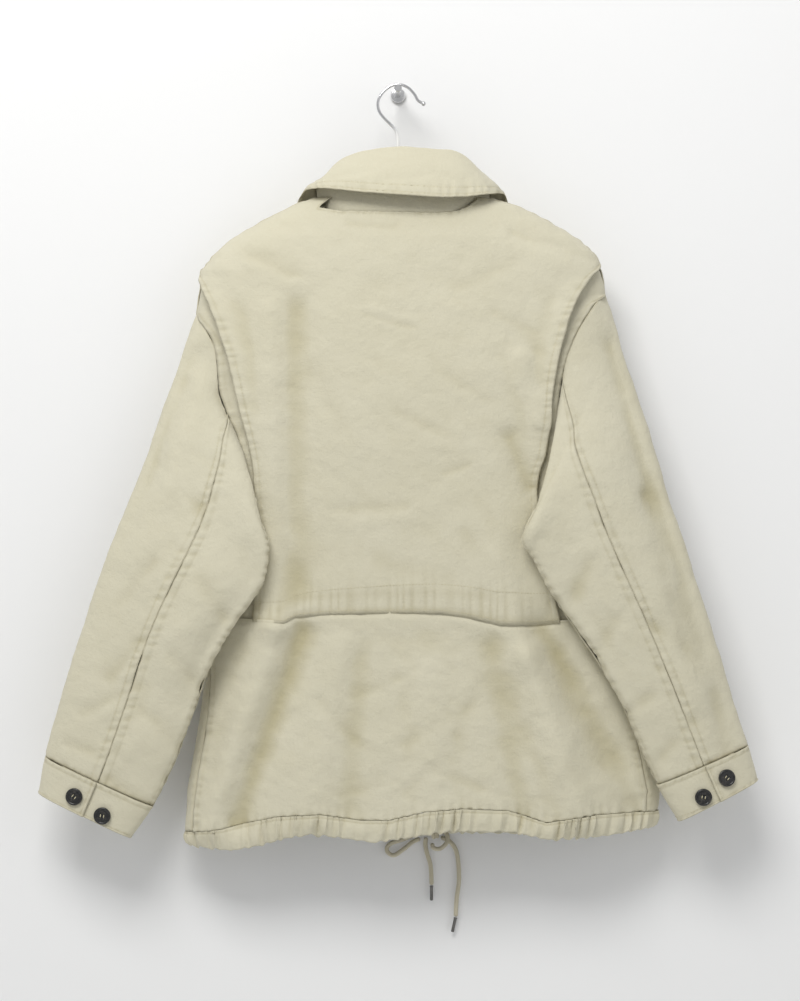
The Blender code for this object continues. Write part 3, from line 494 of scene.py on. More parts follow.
def makeStitches():
    # every row of a group as one mesh, each stitch a small rounded bar
    bar = bmesh.new()
    bmesh.ops.create_uvsphere(bar, u_segments=6, v_segments=4, radius=0.5)
    bmesh.ops.triangulate(bar, faces=bar.faces)
    shape = np.array([vert.co[:] for vert in bar.verts])
    faces = np.array([[vert.index for vert in face.verts] for face in bar.faces])
    bar.free()
    for group, rows in sewn.items():
        centre, along, outward = (np.concatenate(part) for part in zip(*rows))
        side = unit(np.cross(outward, along))
        outward = np.cross(along, side)
        centre = centre + outward * sewing["lift"]
        points = centre[:, None] + shape[None, :, 2:3] * along[:, None] * sewing["length"] \
            + shape[None, :, 0:1] * side[:, None] * sewing["width"] \
            + shape[None, :, 1:2] * outward[:, None] * sewing["height"]
        count = len(centre)
        data = bpy.data.meshes.new("stitches_" + group)
        allFaces = faces[None] + np.arange(count)[:, None, None] * len(shape)
        data.from_pydata((points.reshape(-1, 3) * mm).tolist(), [],
                         allFaces.reshape(-1, 3).tolist())
        made = bpy.data.objects.new("stitches_" + group, data)
        bpy.context.collection.objects.link(made)
        data.materials.append(finishes["thread"])
        data.shade_smooth()
        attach(made, "root")
        print("sewed", group, count)


body = {"squareness": 2.5, "frontCasingTop": -768, "frontHem": -793, "yokeSink": 4,
        "sinkAtNeck": 0.3, "sinkAtSides": 0.16}
cape = {
    "lift": 2.2, "edgeLift": 6, "freeEnd": -400, "overWaist": 0.1,
    "middleLift": 1.5, "middleFade": 40, "freeStart": 10, "freeFade": 60, "edgeShare": 0.16,
    "tips": {"l": -199, "r": -188}, "shoulderRows": 4, "rows": 14,
    "creases": [
        # start x, level, end x, level, half width to each side, height
        (-154, -180, -112, -201, 6, 11, -1.8), (-34, -243, 14, -257, 3, 7, -0.9),
        (-30, -236, 18, -250, 7, 4, 0.8), (-52, -147, -4, -151, 4, 5, -0.8),
        (49, -409, 72, -401, 3, 6, -0.9), (-71, -448, 8, -443, 3, 7, -0.8),
        (-60, -460, 20, -452, 8, 5, 0.7), (60, -215, 120, -190, 6, 9, -0.9),
        (-90, -300, -60, -360, 9, 14, -1.2), (40, -300, 90, -330, 7, 10, -0.8),
        (-20, -500, 60, -520, 8, 10, -0.9), (70, -470, 110, -520, 9, 7, -1.1),
        (-120, -470, -80, -520, 8, 10, 1.0), (0, -345, 60, -372, 6, 8, -0.7),
        (-110, -210, -70, -250, 8, 9, 0.8), (100, -240, 140, -262, 6, 7, -1.0),
    ],
}
skirt = {
    "rise": 30, "tuck": 1.3, "tuckUnder": 3.0,
    "creases": [
        # start x, level, end x, level, half width to each side, height
        (-40, -640, 20, -612, 5, 8, -0.8), (10, -690, 80, -650, 5, 9, -0.9),
        (-10, -740, 40, -700, 6, 8, 0.8), (90, -620, 60, -680, 7, 9, -0.9),
        (-80, -650, -30, -700, 6, 9, -0.9), (40, -720, 110, -745, 5, 7, -0.9),
        (-130, -600, -110, -650, 8, 6, 0.9), (170, -600, 200, -640, 7, 9, -0.9),
        (-60, -745, 0, -730, 4, 7, -0.8), (120, -650, 150, -720, 8, 9, -0.9),
        (180, -690, 160, -740, 7, 7, 0.8), (-180, -660, -195, -720, 8, 8, -1.0),
    ],
}
front = {"overlap": 0.06, "lapLift": 2.4, "lapFrom": 1.5, "lapFade": 0.3, "placket": 32,
         "waist": -556, "shoulder": -215, "shoulderFade": 20, "shoulderTurn": 1.3,
         "turnFade": 0.3,
         "buttonLevels": [-235, -330, -425, -520, -615, -710]}
sleeve = {
    "settle": 1.6, "clearBy": 0.8, "layerBy": 0.5, "layerFade": 0.06,
    "stepFrom": 0.06, "stepRise": 0.08, "stepTo": 0.84, "stepFall": 0.1,
    "overlapStart": 1, "overlapReach": 14, "closedShare": 0.72, "closeFade": 30,
    "squareness": 2.5, "cuffStart": 11, "clearance": 7, "seamStep": 0.5, "layer": 9,
    "backSeam": 0.25,
    "creases": {
        # start x, level, end x, level, half width to each side, height
        "l": [(-206, -446, -162, -478, 9, 12, -2.6), (-235, -330, -240, -420, 9, 12, 1.6),
              (-285, -540, -255, -500, 6, 9, -1.4), (-300, -620, -262, -580, 7, 10, -1.5),
              (-330, -660, -290, -640, 6, 8, -1.2), (-345, -690, -320, -700, 6, 8, -1.4),
              (-270, -600, -300, -660, 9, 12, 1.6), (-240, -520, -232, -570, 8, 12, 1.2)],
        "r": [(228, -270, 262, -430, 9, 16, -2.2), (262, -430, 306, -600, 10, 18, -2.6),
              (240, -330, 290, -520, 12, 8, 1.8), (330, -640, 345, -700, 8, 10, -1.8),
              (280, -600, 310, -650, 8, 10, 1.5), (255, -560, 300, -590, 6, 9, -1.2),
              (330, -600, 346, -640, 8, 8, 1.4)],
    },
    "underCreases": {
        "l": [(-206, -520, -180, -560, 8, 10, -1.8), (-236, -600, -206, -630, 7, 9, -1.5),
              (-262, -660, -230, -690, 7, 9, -1.5), (-250, -640, -280, -700, 9, 9, 1.3),
              (-300, -730, -268, -750, 6, 8, -1.5)],
        "r": [(200, -500, 180, -540, 8, 10, -1.8), (226, -560, 206, -600, 8, 10, -1.6),
              (262, -640, 236, -660, 7, 9, -1.6), (285, -690, 262, -720, 7, 8, -1.5)],
    },
}
cuff = {"start": 0.15, "lap": 0.10, "ramp": 0.16, "lift": 0.6, "lapLift": 2.8,
        "buttons": {  # place round the cuff, share of its height, 1 on the lap
            "l": [(0.218, 0.52, 1), (0.290, 0.66, 0)],
            "r": [(0.213, 0.45, 1), (0.285, 0.62, 0)]}}
collar = {
    "standTop": 0.07, "seamLift": 2.5, "neckCentre": 6, "leafRise": 4.3, "leafBulge": 3,
    "inside": 0.10, "arch": 0.24, "crown": 2.2, "facing": 13,
    "shown": 0.72, "tuckDown": 10, "tuckIn": 1.2,
    "creases": [
        # start x, level, end x, level, half width to each side, height
        (-70, -100, -30, -92, 3, 6, -0.8), (-20, -104, 30, -98, 4, 6, -0.7),
        (40, -96, 66, -104, 3, 5, -0.7), (-60, -112, -20, -110, 3, 4, -0.5)],
}
casing = {"end": 0.012, "drop": 0.6, "face": 0.66, "round": 2.0, "inside": 9, "puff": 1.6,
          "depth": 3.4, "thick": 4.4, "slant": 3.0, "gather": 11.0, "row": 3.0}
drawcord = {
    "radius": 2.3, "flat": 0.72, "knot": (39, 43.5, -794.8),
    "agletRadius": 1.7, "agletLength": 16,
    "aglets": {"aglet_short": (36, 45, -850.4, 0.0), "aglet_long": (61.9, 45, -884.7, -0.22)},
    "ends": {
        "drawcord_end_short": {"length": 0.052, "end": "fitting", "points": 30,
                               "with": ["aglet_short_tip"]},
        "drawcord_end_long": {"length": 0.095, "end": "fitting", "points": 40,
                              "with": ["aglet_long_tip"]},
        "drawcord_loop_left": {"length": 0.09, "end": "object", "points": 50, "with": []},
        "drawcord_loop_right": {"length": 0.038, "end": "object", "points": 40, "with": []},
    },
}
button = {"radius": 9, "thickness": 3.2, "dish": 1.0, "hole": 1.7, "holeRadius": 1.15,
          "holeDepth": 1.2, "seat": 0.8}
hanger = {"wire": 1.6, "tip": 2.6, "arm": 5}
peg = {"wall": 50, "overhang": 5, "flange": (8, 4), "shank": (2.6, 50.7), "head": (4, 2)}
room = {"wall": 51, "floor": -1760, "wallColour": (0.86, 0.86, 0.86),
        "floorColour": (0.80, 0.80, 0.79), "airColour": (0.98, 0.99, 1.0), "air": 0.48}
lights = {
    "softbox": {"size": (1.5, 1.1), "power": 55, "colour": (1.0, 0.995, 0.98),
                "place": (-0.6, -2.0, 1.5), "aim": (0, 0, -0.35)},
    "fill": {"size": (2.0, 2.0), "power": 6, "colour": (1.0, 1.0, 1.0),
             "place": (2.2, -2.4, 0.2), "aim": (0, 0, -0.45)},
}

bodySections = [
    # level, left, right, side depth, back depth, front depth
    (-108, -78, 84, -2, -26, 20),
    (-120, -88, 104, -2, -34, 27),
    (-128, -112, 129, -2, -38, 29),
    (-144, -143, 160, -2, -42, 31),
    (-161, -170, 186, -2, -46, 33),
    (-177, -191, 204, -2, -48, 35),
    (-194, -205, 214, -1, -50, 36),
    (-211, -209, 219, -1, -51, 37),
    (-237, -213, 222, 0, -53, 38),
    (-300, -214, 222, 1, -55, 40),
    (-380, -208, 217, 4, -54, 41),
    (-455, -200, 216, 8, -50, 42),
    (-515, -206, 227, 10, -47, 42),
    (-565, -206, 235, 10, -46, 42),
    (-622, -204, 248, 10, -46, 41),
    (-690, -214, 267, 8, -46, 40),
    (-743, -224, 279, 6, -45, 40),
    (-784, -225, 273, 4, -44, 39),
    (-806, -222, 266, 4, -42, 38),
]
backFolds = [
    # start x, start level, end x, end level, half width to each side, height
    (-132, -240, -132, -560, 15, 15, 4),
    (-106, -240, -102, -520, 21, 21, -6),
    (-130, -575, -203, -776, 20, 20, 10),
    (-100, -575, -166, -770, 17, 17, -9),
    (-60, -590, -92, -770, 18, 18, 4),
    (101, -500, 136, -600, 16, 16, 5),
    (138, -600, 190, -765, 19, 19, 10),
    (150, -575, 222, -700, 20, 20, -11),
    (236, -726, 252, -775, 16, 16, -6),
    (96, -590, 132, -770, 16, 16, -5),
    (116, -372, 136, -424, 12, 12, -5),
    (128, -288, 146, -352, 10, 10, 4),
    (120, -158, 205, -184, 8, 8, -3),
    (-40, -600, -50, -765, 14, 14, -3),
    (30, -620, 44, -765, 18, 18, 3),
]
backNeck = [
    # x, level of the neck seam across the back
    (-88, -120), (-80, -130.5), (-54, -134), (-15, -134.5), (37, -136), (59, -133.5),
    (82, -126), (104, -120),
]
frontNeck = [
    # share of the way round from the side to the centre front, level
    (0.0, -120), (0.3, -128), (0.6, -150), (0.85, -172), (1.0, -180), (1.1, -182),
]
waistSeam = [
    # x, level of the seam between the back and the skirt
    (-210, -562), (-160, -563), (-120, -565), (-108, -558), (-71, -555), (2, -554),
    (44, -554), (75, -559), (106, -566), (138, -567), (180, -564), (238, -562),
]
casingTopLine = [
    # x, level of the top of the hem casing across the back
    (-225, -786), (-185, -781), (-158, -774), (-128, -767), (-83, -764), (-40, -770),
    (-10, -770), (28, -761), (66, -758), (113, -760), (155, -773), (205, -765),
    (255, -764), (272, -764),
]
hemLine = [
    # x, level of the hem across the back
    (-225, -801), (-176, -804), (-149, -799), (-113, -789), (-92, -786), (-61, -789),
    (-24, -794), (23, -787), (54, -782), (117, -783), (159, -792), (211, -789),
    (243, -785), (272, -781),
]
armholes = {
    "l": [(-213, -237), (-203, -256), (-193, -275), (-189, -300), (-187, -322),
          (-179, -345), (-170, -366), (-162, -391), (-158, -415), (-158, -437), (-163, -454)],
    "r": [(222, -218), (209, -228), (199, -242), (189, -258), (179, -280),
          (172, -306), (169, -332), (167, -360), (165, -388), (162, -418), (161, -446)],
}
frontArmhole = [
    # share of the way round past the side (negative is still on the back), share of the drop
    (0.0, 0.0), (0.05, 0.10), (0.08, 0.20), (0.10, 0.31), (0.11, 0.42), (0.11, 0.53),
    (0.10, 0.64), (0.07, 0.75), (0.0, 0.86), (-0.18, 0.95),
]
sideSeams = {
    "l": [(-163, -454), (-171, -480), (-180, -505), (-188, -532), (-195, -562),
          (-198, -600), (-199, -640), (-203, -680), (-210, -720), (-215, -755), (-216, -785)],
    "r": [(161, -446), (168, -472), (184, -502), (206, -530), (218, -560),
          (232, -600), (241, -640), (248, -670), (256, -705), (262, -740), (262, -764)],
}
capeEdges = {
    "l": [(-207, -199), (-203, -214), (-191, -239), (-184, -261), (-176, -285), (-170, -310),
          (-164, -337), (-157, -365), (-152, -392), (-149, -420), (-147, -480), (-152, -560)],
    "r": [(213, -188), (202, -202), (189, -220), (179, -240), (173, -260), (167, -282),
          (162, -308), (158, -335), (156, -365), (152, -400), (144, -440), (170, -562)],
}
sleeveStations = {
    "l": [
        # outer x, depth, level, inner x, depth, level, back bulge, front bulge
        (-213, -2, -237, -163, -42, -452, 14, 26),
        (-222, -4, -262, -143, -54, -462, 18, 26),
        (-234, -8, -300, -135, -58, -478, 21, 25),
        (-248, -12, -340, -135, -58, -496, 23, 24),
        (-264, -15, -385, -140, -57, -522, 24, 23),
        (-282, -18, -434, -152, -54, -541, 24, 22),
        (-302, -20, -485, -168, -51, -562, 24, 22),
        (-320, -20, -535, -185, -48, -588, 23, 21),
        (-337, -20, -586, -200, -44, -618, 22, 20),
        (-352, -20, -634, -213, -40, -656, 21, 19),
        (-363, -19, -672, -233, -36, -708, 19, 18),
        (-371, -19, -705, -257, -32, -756, 17, 17),
        (-378, -19, -744, -281, -28, -790, 16, 16),
    ],
    "r": [
        (222, -2, -218, 160, -44, -443, 14, 26),
        (229, -4, -244, 141, -56, -457, 18, 26),
        (238, -8, -280, 129, -61, -472, 21, 25),
        (251, -12, -320, 131, -62, -484, 23, 24),
        (264, -15, -362, 139, -60, -495, 24, 23),
        (280, -18, -415, 152, -57, -520, 24, 22),
        (298, -20, -470, 170, -53, -548, 24, 22),
        (316, -20, -526, 190, -50, -576, 23, 21),
        (333, -20, -582, 211, -46, -608, 22, 20),
        (348, -20, -634, 234, -42, -648, 21, 19),
        (360, -19, -668, 252, -38, -690, 20, 19),
        (368, -19, -693, 271, -34, -733, 20, 19),
        (378, -19, -730, 295, -30, -772, 20, 19),
    ],
}
sleeveFolds = {
    "l": [
        # share along, share around, reach along, reach around, height
        (0.30, 0.10, 0.30, 0.035, -5), (0.30, 0.17, 0.26, 0.04, 4),
        (0.36, 0.36, 0.07, 0.09, -6), (0.55, 0.30, 0.22, 0.05, 4),
        (0.62, 0.40, 0.20, 0.04, -4), (0.80, 0.30, 0.06, 0.10, -4),
    ],
    "r": [
        (0.40, 0.12, 0.30, 0.04, -7), (0.34, 0.24, 0.22, 0.05, 5),
        (0.62, 0.36, 0.24, 0.045, -4), (0.70, 0.20, 0.22, 0.05, 4),
        (0.24, 0.38, 0.08, 0.07, 4), (0.82, 0.10, 0.07, 0.08, -4),
    ],
}
collarSections = [
    # seam x, depth, level, fold x, depth, level, edge x, depth, level
    (-16, 40, -178, -24, 42, -170, -66, 44, -222),
    (-44, 33, -168, -52, 37, -150, -92, 42, -192),
    (-70, 22, -146, -76, 25, -126, -106, 36, -150),
    (-85, 0, -121, -86, 1, -106, -100, 8, -118),
    (-76, -22, -121, -75, -20, -100, -86, -32, -114),
    (-54, -35, -132, -54, -28, -82, -60, -48, -116),
    (-15, -41, -133.5, -15, -33, -73, -15, -56, -121.5),
    (37, -42, -135, 35, -33, -74, 37, -57, -125.5),
    (62, -38, -132.5, 62, -28, -77, 66, -52, -124),
    (84, -24, -120, 82, -18, -92, 92, -38, -120),
    (98, 0, -121, 95, 2, -104, 110, 6, -118),
    (82, 22, -146, 88, 25, -126, 114, 36, -150),
    (52, 33, -168, 60, 37, -150, 98, 42, -192),
    (22, 37, -180, 30, 41, -170, 72, 44, -222),
]
cordRoutes = {
    # points (x, depth, level), from the bow's knot to the free end
    "drawcord_end_short": [(30.2, 45.2, -798.4), (29.4, 45.8, -806), (31, 46, -815),
                           (35, 45.4, -829), (36, 45, -846), (36, 45, -850)],
    "drawcord_end_long": [(46.1, 45.4, -798.4), (54, 46.2, -802), (61, 46.2, -809.5), (64.4, 45.8, -822),
                          (65.5, 45, -845), (63, 45, -865), (62, 45, -884)],
    "drawcord_loop_left": [(30.2, 44.8, -793.6), (18, 46, -796), (5, 46, -801), (-9, 45.4, -806),
                           (-12, 45, -813), (-5, 44.6, -818), (5, 44.4, -812), (15, 44.6, -804),
                           (24, 45.2, -800)],
    "drawcord_loop_right": [(48.4, 43.6, -791.4), (53, 41, -796), (52, 39, -804), (45, 38.4, -810),
                            (38, 38.6, -809), (36.6, 39.4, -804)],
}
hookRoute = [
    (27, 0, -15.5), (21, 0, -12), (18, 0, -6.5), (12, 0, 0.4), (5.5, 0, 4), (-1, 0, 4.8),
    (-8, 0, 3), (-15, 0, -2.5), (-20, 0, -9.5), (-21.4, 0, -16.5), (-20, 0, -23.5),
    (-15.6, 0, -30), (-8.6, 0, -37), (-3, 0, -43), (-0.8, 0, -49), (0, 0, -60), (0, 0, -119),
]
armRoute = [(-180, 0.5, -179.4), (-166, 0.5, -168.4), (-139, 0.5, -151.8), (-109, 0.5, -136.2),
             (-75, 0.5, -128), (-30, 0, -124.6), (0, 0, -124.4), (30, 0, -124.6),
             (80, 0.5, -128), (126, 0.5, -136.4), (156, 0.5, -152), (182, 0.5, -168.8)]


def bodySize(level):
    _, left, right, side, back, front = readTable(bodySections, level)
    return (left + right) / 2, (right - left) / 2, side, side - back, front - side


def bodyAt(turn, level):
    # turn 0 is the centre back, 1 the viewer's right side and 2 the centre front
    turn, level = np.broadcast_arrays(np.asarray(turn, float), level)
    centre, half, side, back, front = bodySize(level)
    angle = turn * math.pi / 2
    across = signedPower(np.sin(angle), 2 / body["squareness"])
    deep = signedPower(np.cos(angle), 2 / body["squareness"])
    x = centre + half * across
    y = side - deep * np.where(deep > 0, back, front)
    y = y - crease(x, level, backFolds) * ease(deep * 1.6)
    return stack(x, y, level)


def turnAt(x, level):
    centre, half, *_ = bodySize(level)
    across = between((x - centre) / half, -1, 1)
    return np.arcsin(signedPower(across, body["squareness"] / 2)) * 2 / math.pi


def bodyOut(turn, level):
    around = bodyAt(turn + 0.004, level) - bodyAt(turn - 0.004, level)
    down = bodyAt(turn, level - 1) - bodyAt(turn, level + 1)
    return unit(np.cross(down, around))


# distance round the body's section, to space columns and gathers evenly
sectionTurns = np.linspace(-2.3, 2.3, 4001)
sectionRuns = np.concatenate(
    [[0], np.cumsum(lengths(np.diff(bodyAt(sectionTurns, -480.0), axis=0)))])
sectionRuns -= np.interp(0, sectionTurns, sectionRuns)


def runOf(turn):
    return np.interp(turn, sectionTurns, sectionRuns)


def turnOf(run):
    return np.interp(run, sectionRuns, sectionTurns)


def levelOn(table):
    # level of a seam across the back, read by the x of its own turn
    middle = sum(row[1] for row in table) / len(table)

    def at(turn):
        return readTable(table, bodyAt(turn, middle)[..., 0])[1]

    return at


neckLevel, waistLevel = levelOn(backNeck), levelOn(waistSeam)


def roundTheFront(table, probe, frontLevel):
    def at(turn):
        side = bodyAt(between(turn, -1, 1), probe)[..., 0]
        return lerp(readTable(table, side)[1], frontLevel, ease((np.abs(turn) - 1) * 2))

    return at


casingTop = roundTheFront(casingTopLine, -775, body["frontCasingTop"])
hemLevel = roundTheFront(hemLine, -790, body["frontHem"])


def sideSign(side):
    return -1 if side == "l" else 1


def shoulderLine(side, endLevel, steps):
    start = backNeck[0][1] if side == "l" else backNeck[-1][1]
    return [(sideSign(side), lerp(start, endLevel, step / steps)) for step in range(steps + 1)]


def backLine(points, steps):
    line = curveAt(points, np.linspace(0, 1, steps + 1))
    return list(zip(turnAt(line[:, 0], line[:, 1]), line[:, 1]))


def armholeBack(side):
    line = np.array(armholes[side], float)
    return list(zip(turnAt(line[:, 0], line[:, 1]), line[:, 1]))


def armholeFront(side):
    top, bottom = armholes[side][0][1], armholes[side][-1][1]
    line = [(sideSign(side) * (1 + past), lerp(top, bottom, drop)) for past, drop in frontArmhole]
    return line + [armholeBack(side)[-1]]


def bodySheet(left, right, top, bottom, lift, reach=55):
    # bare surface between two seam lines, with a shaped top and bottom edge
    _, leftTop = left(np.array(0.0))
    _, leftEnd = left(np.array(1.0))
    _, rightTop = right(np.array(0.0))
    _, rightEnd = right(np.array(1.0))

    def at(across, down):
        across, down = np.broadcast_arrays(np.asarray(across, float), down)
        turnLeft, levelLeft = left(down)
        turnRight, levelRight = right(down)
        turn = turnOf(lerp(runOf(turnLeft), runOf(turnRight), across))
        level = lerp(levelLeft, levelRight, across)
        first, last = lerp(leftTop, rightTop, across), lerp(leftEnd, rightEnd, across)
        here = level + (top(turn) - first) * between(1 - (first - level) / reach) \
            + (bottom(turn) - last) * between(1 - (level - last) / reach)
        out = lift(turn, here, across)
        return bodyAt(turn, here) + bodyOut(turn, here) * np.asarray(out)[..., None]

    return at


def capeLift(turn, level, across):
    toEdge = 1 - np.abs(2 * across - 1)
    drop = cape["tips"]["l"] - level
    free = ease((drop + cape["freeStart"]) / cape["freeFade"]) \
        * ease((level - cape["freeEnd"]) / cape["freeFade"])
    middle = ease((backNeck[3][1] - level) / cape["middleFade"]) \
        * ease((level - waistSeam[5][1]) / cape["middleFade"])
    return cape["lift"] + middle * cape["middleLift"] \
        + cape["edgeLift"] * free * ease(1 - toEdge / cape["edgeShare"])


def rumple(x, z, seed, strength=1.0):
    # the soft unevenness of washed cotton, large to small
    return strength * (1.5 * crumple(x, z, 75, seed) + 0.85 * crumple(x, z, 30, seed + 3, 1.6, 25)
                       + 0.55 * crumple(x, z, 12, seed + 7, 1.8, -30)
                       + 0.2 * crumple(x, z, 5, seed + 11, 1.5, 20))


waistBand = (9.0, 6.1, 0.4, 0.45, 11.0)  # width, seed, lift, pucker and pitch
gathers = {"pitch": 11.5, "drift": 2, "driftPitch": 0.09, "reach": 16, "height": 0.8}


def gathersAt(x, above):
    # the pleats that the casing draws into the cloth over it
    drift = gathers["drift"] * np.sin(x * gathers["driftPitch"])
    return gathers["height"] * np.sin(2 * math.pi * x / gathers["pitch"] + drift) \
        * bell(above / gathers["reach"])


def capeRelief(panel, across, down):
    place = panel.bare(across, down)
    x, z = place[..., 0], place[..., 2]
    left, right, top, bottom = panel.edges(across, down)
    height = rumple(x, z, 2.3) + crease(x, z, cape["creases"])
    # painted shade in the hollows of the creases
    paintedShade = between(-crease(x, z, cape["creases"]) * 0.06)
    bands = [(left, z, 7.5, 1.2), (right, z, 7.5, 4.4), (top, x, 5.0, 2.0)]
    for away, run, width, seed in bands:
        more, tone = seamBand(away, run, width, seed)
        height, paintedShade = height + more, paintedShade + tone
    more, tone = seamBand(bottom, x, *waistBand)
    # along the bottom edge: a shallow dip, and a painted shade line over the waist seam
    near = bell((bottom - 2.2) / 1.0)
    return height + more - 0.3 * near, paintedShade + tone + 0.25 * near


def makeCape():
    sides = {}
    for side in "lr":
        ridge = shoulderLine(side, cape["tips"][side], cape["shoulderRows"])
        sides[side] = seamLine(ridge, backLine(capeEdges[side], cape["rows"]))
    panel = Panel(bodySheet(sides["l"], sides["r"], neckLevel,
                            lambda turn: waistLevel(turn) + cape["overWaist"], capeLift),
                  capeRelief)
    made = panel.make("back_cape_cloth", 170, 200, ["back_cape"])
    steps = np.linspace(0.004, 0.996, 60)
    for side in (0, 1):
        inset = 7.5 / panel.wide(steps)
        sew(panel, "cape", inset if side == 0 else 1 - inset, steps)
    for drop in (2.2, 11.0):
        sew(panel, "cape", steps, 1 - drop / panel.high(steps))
    sew(panel, "cape", steps, 5.0 / panel.high(steps))
    return made, panel


def yokeLift(turn, level, across):
    return -body["yokeSink"] * ease((1 - np.abs(2 * across - 1)) / body["sinkAtSides"])


def yokeRelief(panel, across, down):
    place = panel.bare(across, down)
    x, z = place[..., 0], place[..., 2]
    left, right, top, bottom = panel.edges(across, down)
    height, paintedShade = rumple(x, z, 5.9, 0.8), 0 * x
    armhole = ease((down - 0.25) / 0.03)
    # the second value carries the painted shade of the sewn edges
    for away, seed in ((left, 3.3), (right, 7.7)):
        more, tone = seamBand(away, z, 8.0, seed, 0.5, 0.7, 12.0)
        height, paintedShade = height + more * armhole, paintedShade + tone * armhole
    more, tone = seamBand(bottom, x, *waistBand)
    return height + more, paintedShade + tone


def makeYoke():
    sides = {}
    for side in "lr":
        seam = backLine(sideSeams[side][:5], 4)
        sides[side] = seamLine(shoulderLine(side, armholes[side][0][1], 5), armholeBack(side),
                               seam)
    panel = Panel(
        bodySheet(sides["l"], sides["r"],
                  lambda turn: neckLevel(turn)
                  - body["yokeSink"] * ease((1 - np.abs(turn)) / body["sinkAtNeck"]),
                  lambda turn: waistLevel(turn) + cape["overWaist"], yokeLift), yokeRelief)
    made = panel.make("back_yoke_cloth", 110, 140, ["back_yoke"])
    steps = np.linspace(0.27, 0.996, 50)
    for side in (0, 1):
        inset = 8.0 / panel.wide(steps)
        sew(panel, "yoke", inset if side == 0 else 1 - inset, steps)
    ends = np.linspace(0.002, 0.2, 20)
    for drop in (2.2, 11.0):
        sew(panel, "yoke", ends, 1 - drop / panel.high(ends))
        sew(panel, "yoke", 1 - ends, 1 - drop / panel.high(1 - ends))
    return made, panel


def skirtLift(turn, level, across):
    # the top comes out to the cape's level, and its turned-in edge lies under it
    below = waistLevel(turn) - level
    nearTop = ease(1 - below / skirt["rise"])
    tucked = ease(1 - below / 5.0)
    return cape["lift"] * nearTop * ease((1 - np.abs(2 * across - 1)) / 0.3) \
        - skirt["tuck"] * tucked


def skirtRelief(panel, across, down):
    place = panel.bare(across, down)
    x, z = place[..., 0], place[..., 2]
    left, right, top, bottom = panel.edges(across, down)
    folds = crease(x, z, skirt["creases"])
    height = rumple(x, z, 8.2) + folds + 0.55 * crumple(x, z, 14, 4.5, 2.6, 32) \
        + 0.35 * crumple(x, z, 8, 9.5, 2.2, -24)
    height = height + gathersAt(x, bottom)
    # painted shade in the hollows of the creases
    paintedShade = between(-folds * 0.06)
    for away, seed in ((left, 2.7), (right, 5.2)):
        more, tone = seamBand(away, z, 7.0, seed, 0.4, 0.5, 12.0)
        height, paintedShade = height + more, paintedShade + tone
    more, tone = seamBand(bottom, x, 1.5, 8.8, 0.2, 0.5, 9.0)
    # painted shade: the hem's sewn edge, and a line just under the cape's bottom edge
    paintedShade = paintedShade + 0.5 * tone + 0.3 * bell((top - 3.0) / 0.7)
    return height + more, paintedShade


def makeSkirt():
    sides = {side: seamLine(backLine(sideSeams[side][4:], 9)) for side in "lr"}
    panel = Panel(
        bodySheet(sides["l"], sides["r"], lambda turn: waistLevel(turn) + skirt["tuckUnder"],
                  casingTop, skirtLift), skirtRelief)
    made = panel.make("back_skirt_cloth", 240, 125, ["back_skirt"])
    steps = np.linspace(0.01, 0.99, 40)
    for side in (0, 1):
        inset = 7.0 / panel.wide(steps)
        sew(panel, "skirt", inset if side == 0 else 1 - inset, steps)
    return made, panel


def frontLift(side):
    def lift(turn, level, across):
        atShoulder = ease((level - front["shoulder"]) / front["shoulderFade"]) \
            * ease((front["shoulderTurn"] - np.abs(turn)) / front["turnFade"])
        over = ease((np.abs(turn) - front["lapFrom"]) / front["lapFade"]) if side == "l" else 0
        return cape["lift"] * atShoulder + front["lapLift"] * over

    return lift


def frontRelief(side):
    def relief(panel, across, down):
        place = panel.bare(across, down)
        x, z = place[..., 0], place[..., 2]
        left, right, top, bottom = panel.edges(across, down)
        centre, outer = (left, right) if side == "l" else (right, left)
        height = rumple(x, z, 11.4 if side == "l" else 14.1, 0.9)
        paintedShade = 0 * x
        for away, run, width, lift in ((centre, z, 6.0, 0.4), (top, x, 5.0, 0.4),
                                       (outer, z, 7.5, 0.4)):
            more, tone = seamBand(away, run, width, width, lift, 0.5, 11.0)
            height, paintedShade = height + more, paintedShade + tone
        # a dip along the placket's row and at the waist seam, with painted shade along both
        placket = bell((centre - front["placket"]) / 1.1)
        height = height - 0.45 * placket - 0.3 * bell((z - front["waist"]) / 1.3) \
            + 0.3 * ease((front["waist"] + 10 - z) / 4) * ease((z - front["waist"]) / 2)
        paintedShade = paintedShade + 0.3 * placket + 0.45 * bell((z - front["waist"]) / 1.2)
        return height + gathersAt(x, bottom), paintedShade

    return relief


def makeFront(side):
    sign = sideSign(side)
    runs = [shoulderLine(side, armholes[side][0][1], 5), armholeFront(side),
            backLine(sideSeams[side][:5], 4), backLine(sideSeams[side][4:], 9)]
    rows = sum(len(run) - 1 for run in runs)
    neck = frontNeck[-1][1]
    centre = seamLine([(sign * (2 + front["overlap"]),
                        lerp(neck, body["frontCasingTop"], row / rows))
                       for row in range(rows + 1)])
    outer = seamLine(*runs)
    left, right = (centre, outer) if side == "l" else (outer, centre)
    panel = Panel(
        bodySheet(left, right, lambda turn: readTable(frontNeck, np.abs(turn) - 1)[1],
                  casingTop, frontLift(side)), frontRelief(side))
    made = panel.make(f"front_{side}_cloth", 60, 150, ["front_" + side])
    steps = np.linspace(0.004, 0.996, 70)
    for drop in (6.0, front["placket"]):
        inset = drop / panel.wide(steps)
        sew(panel, "fronts", inset if side == "l" else 1 - inset, steps)
    sew(panel, "fronts", np.linspace(0.01, 0.99, 40), 5.0 / panel.high(0.5))
    return made, panel


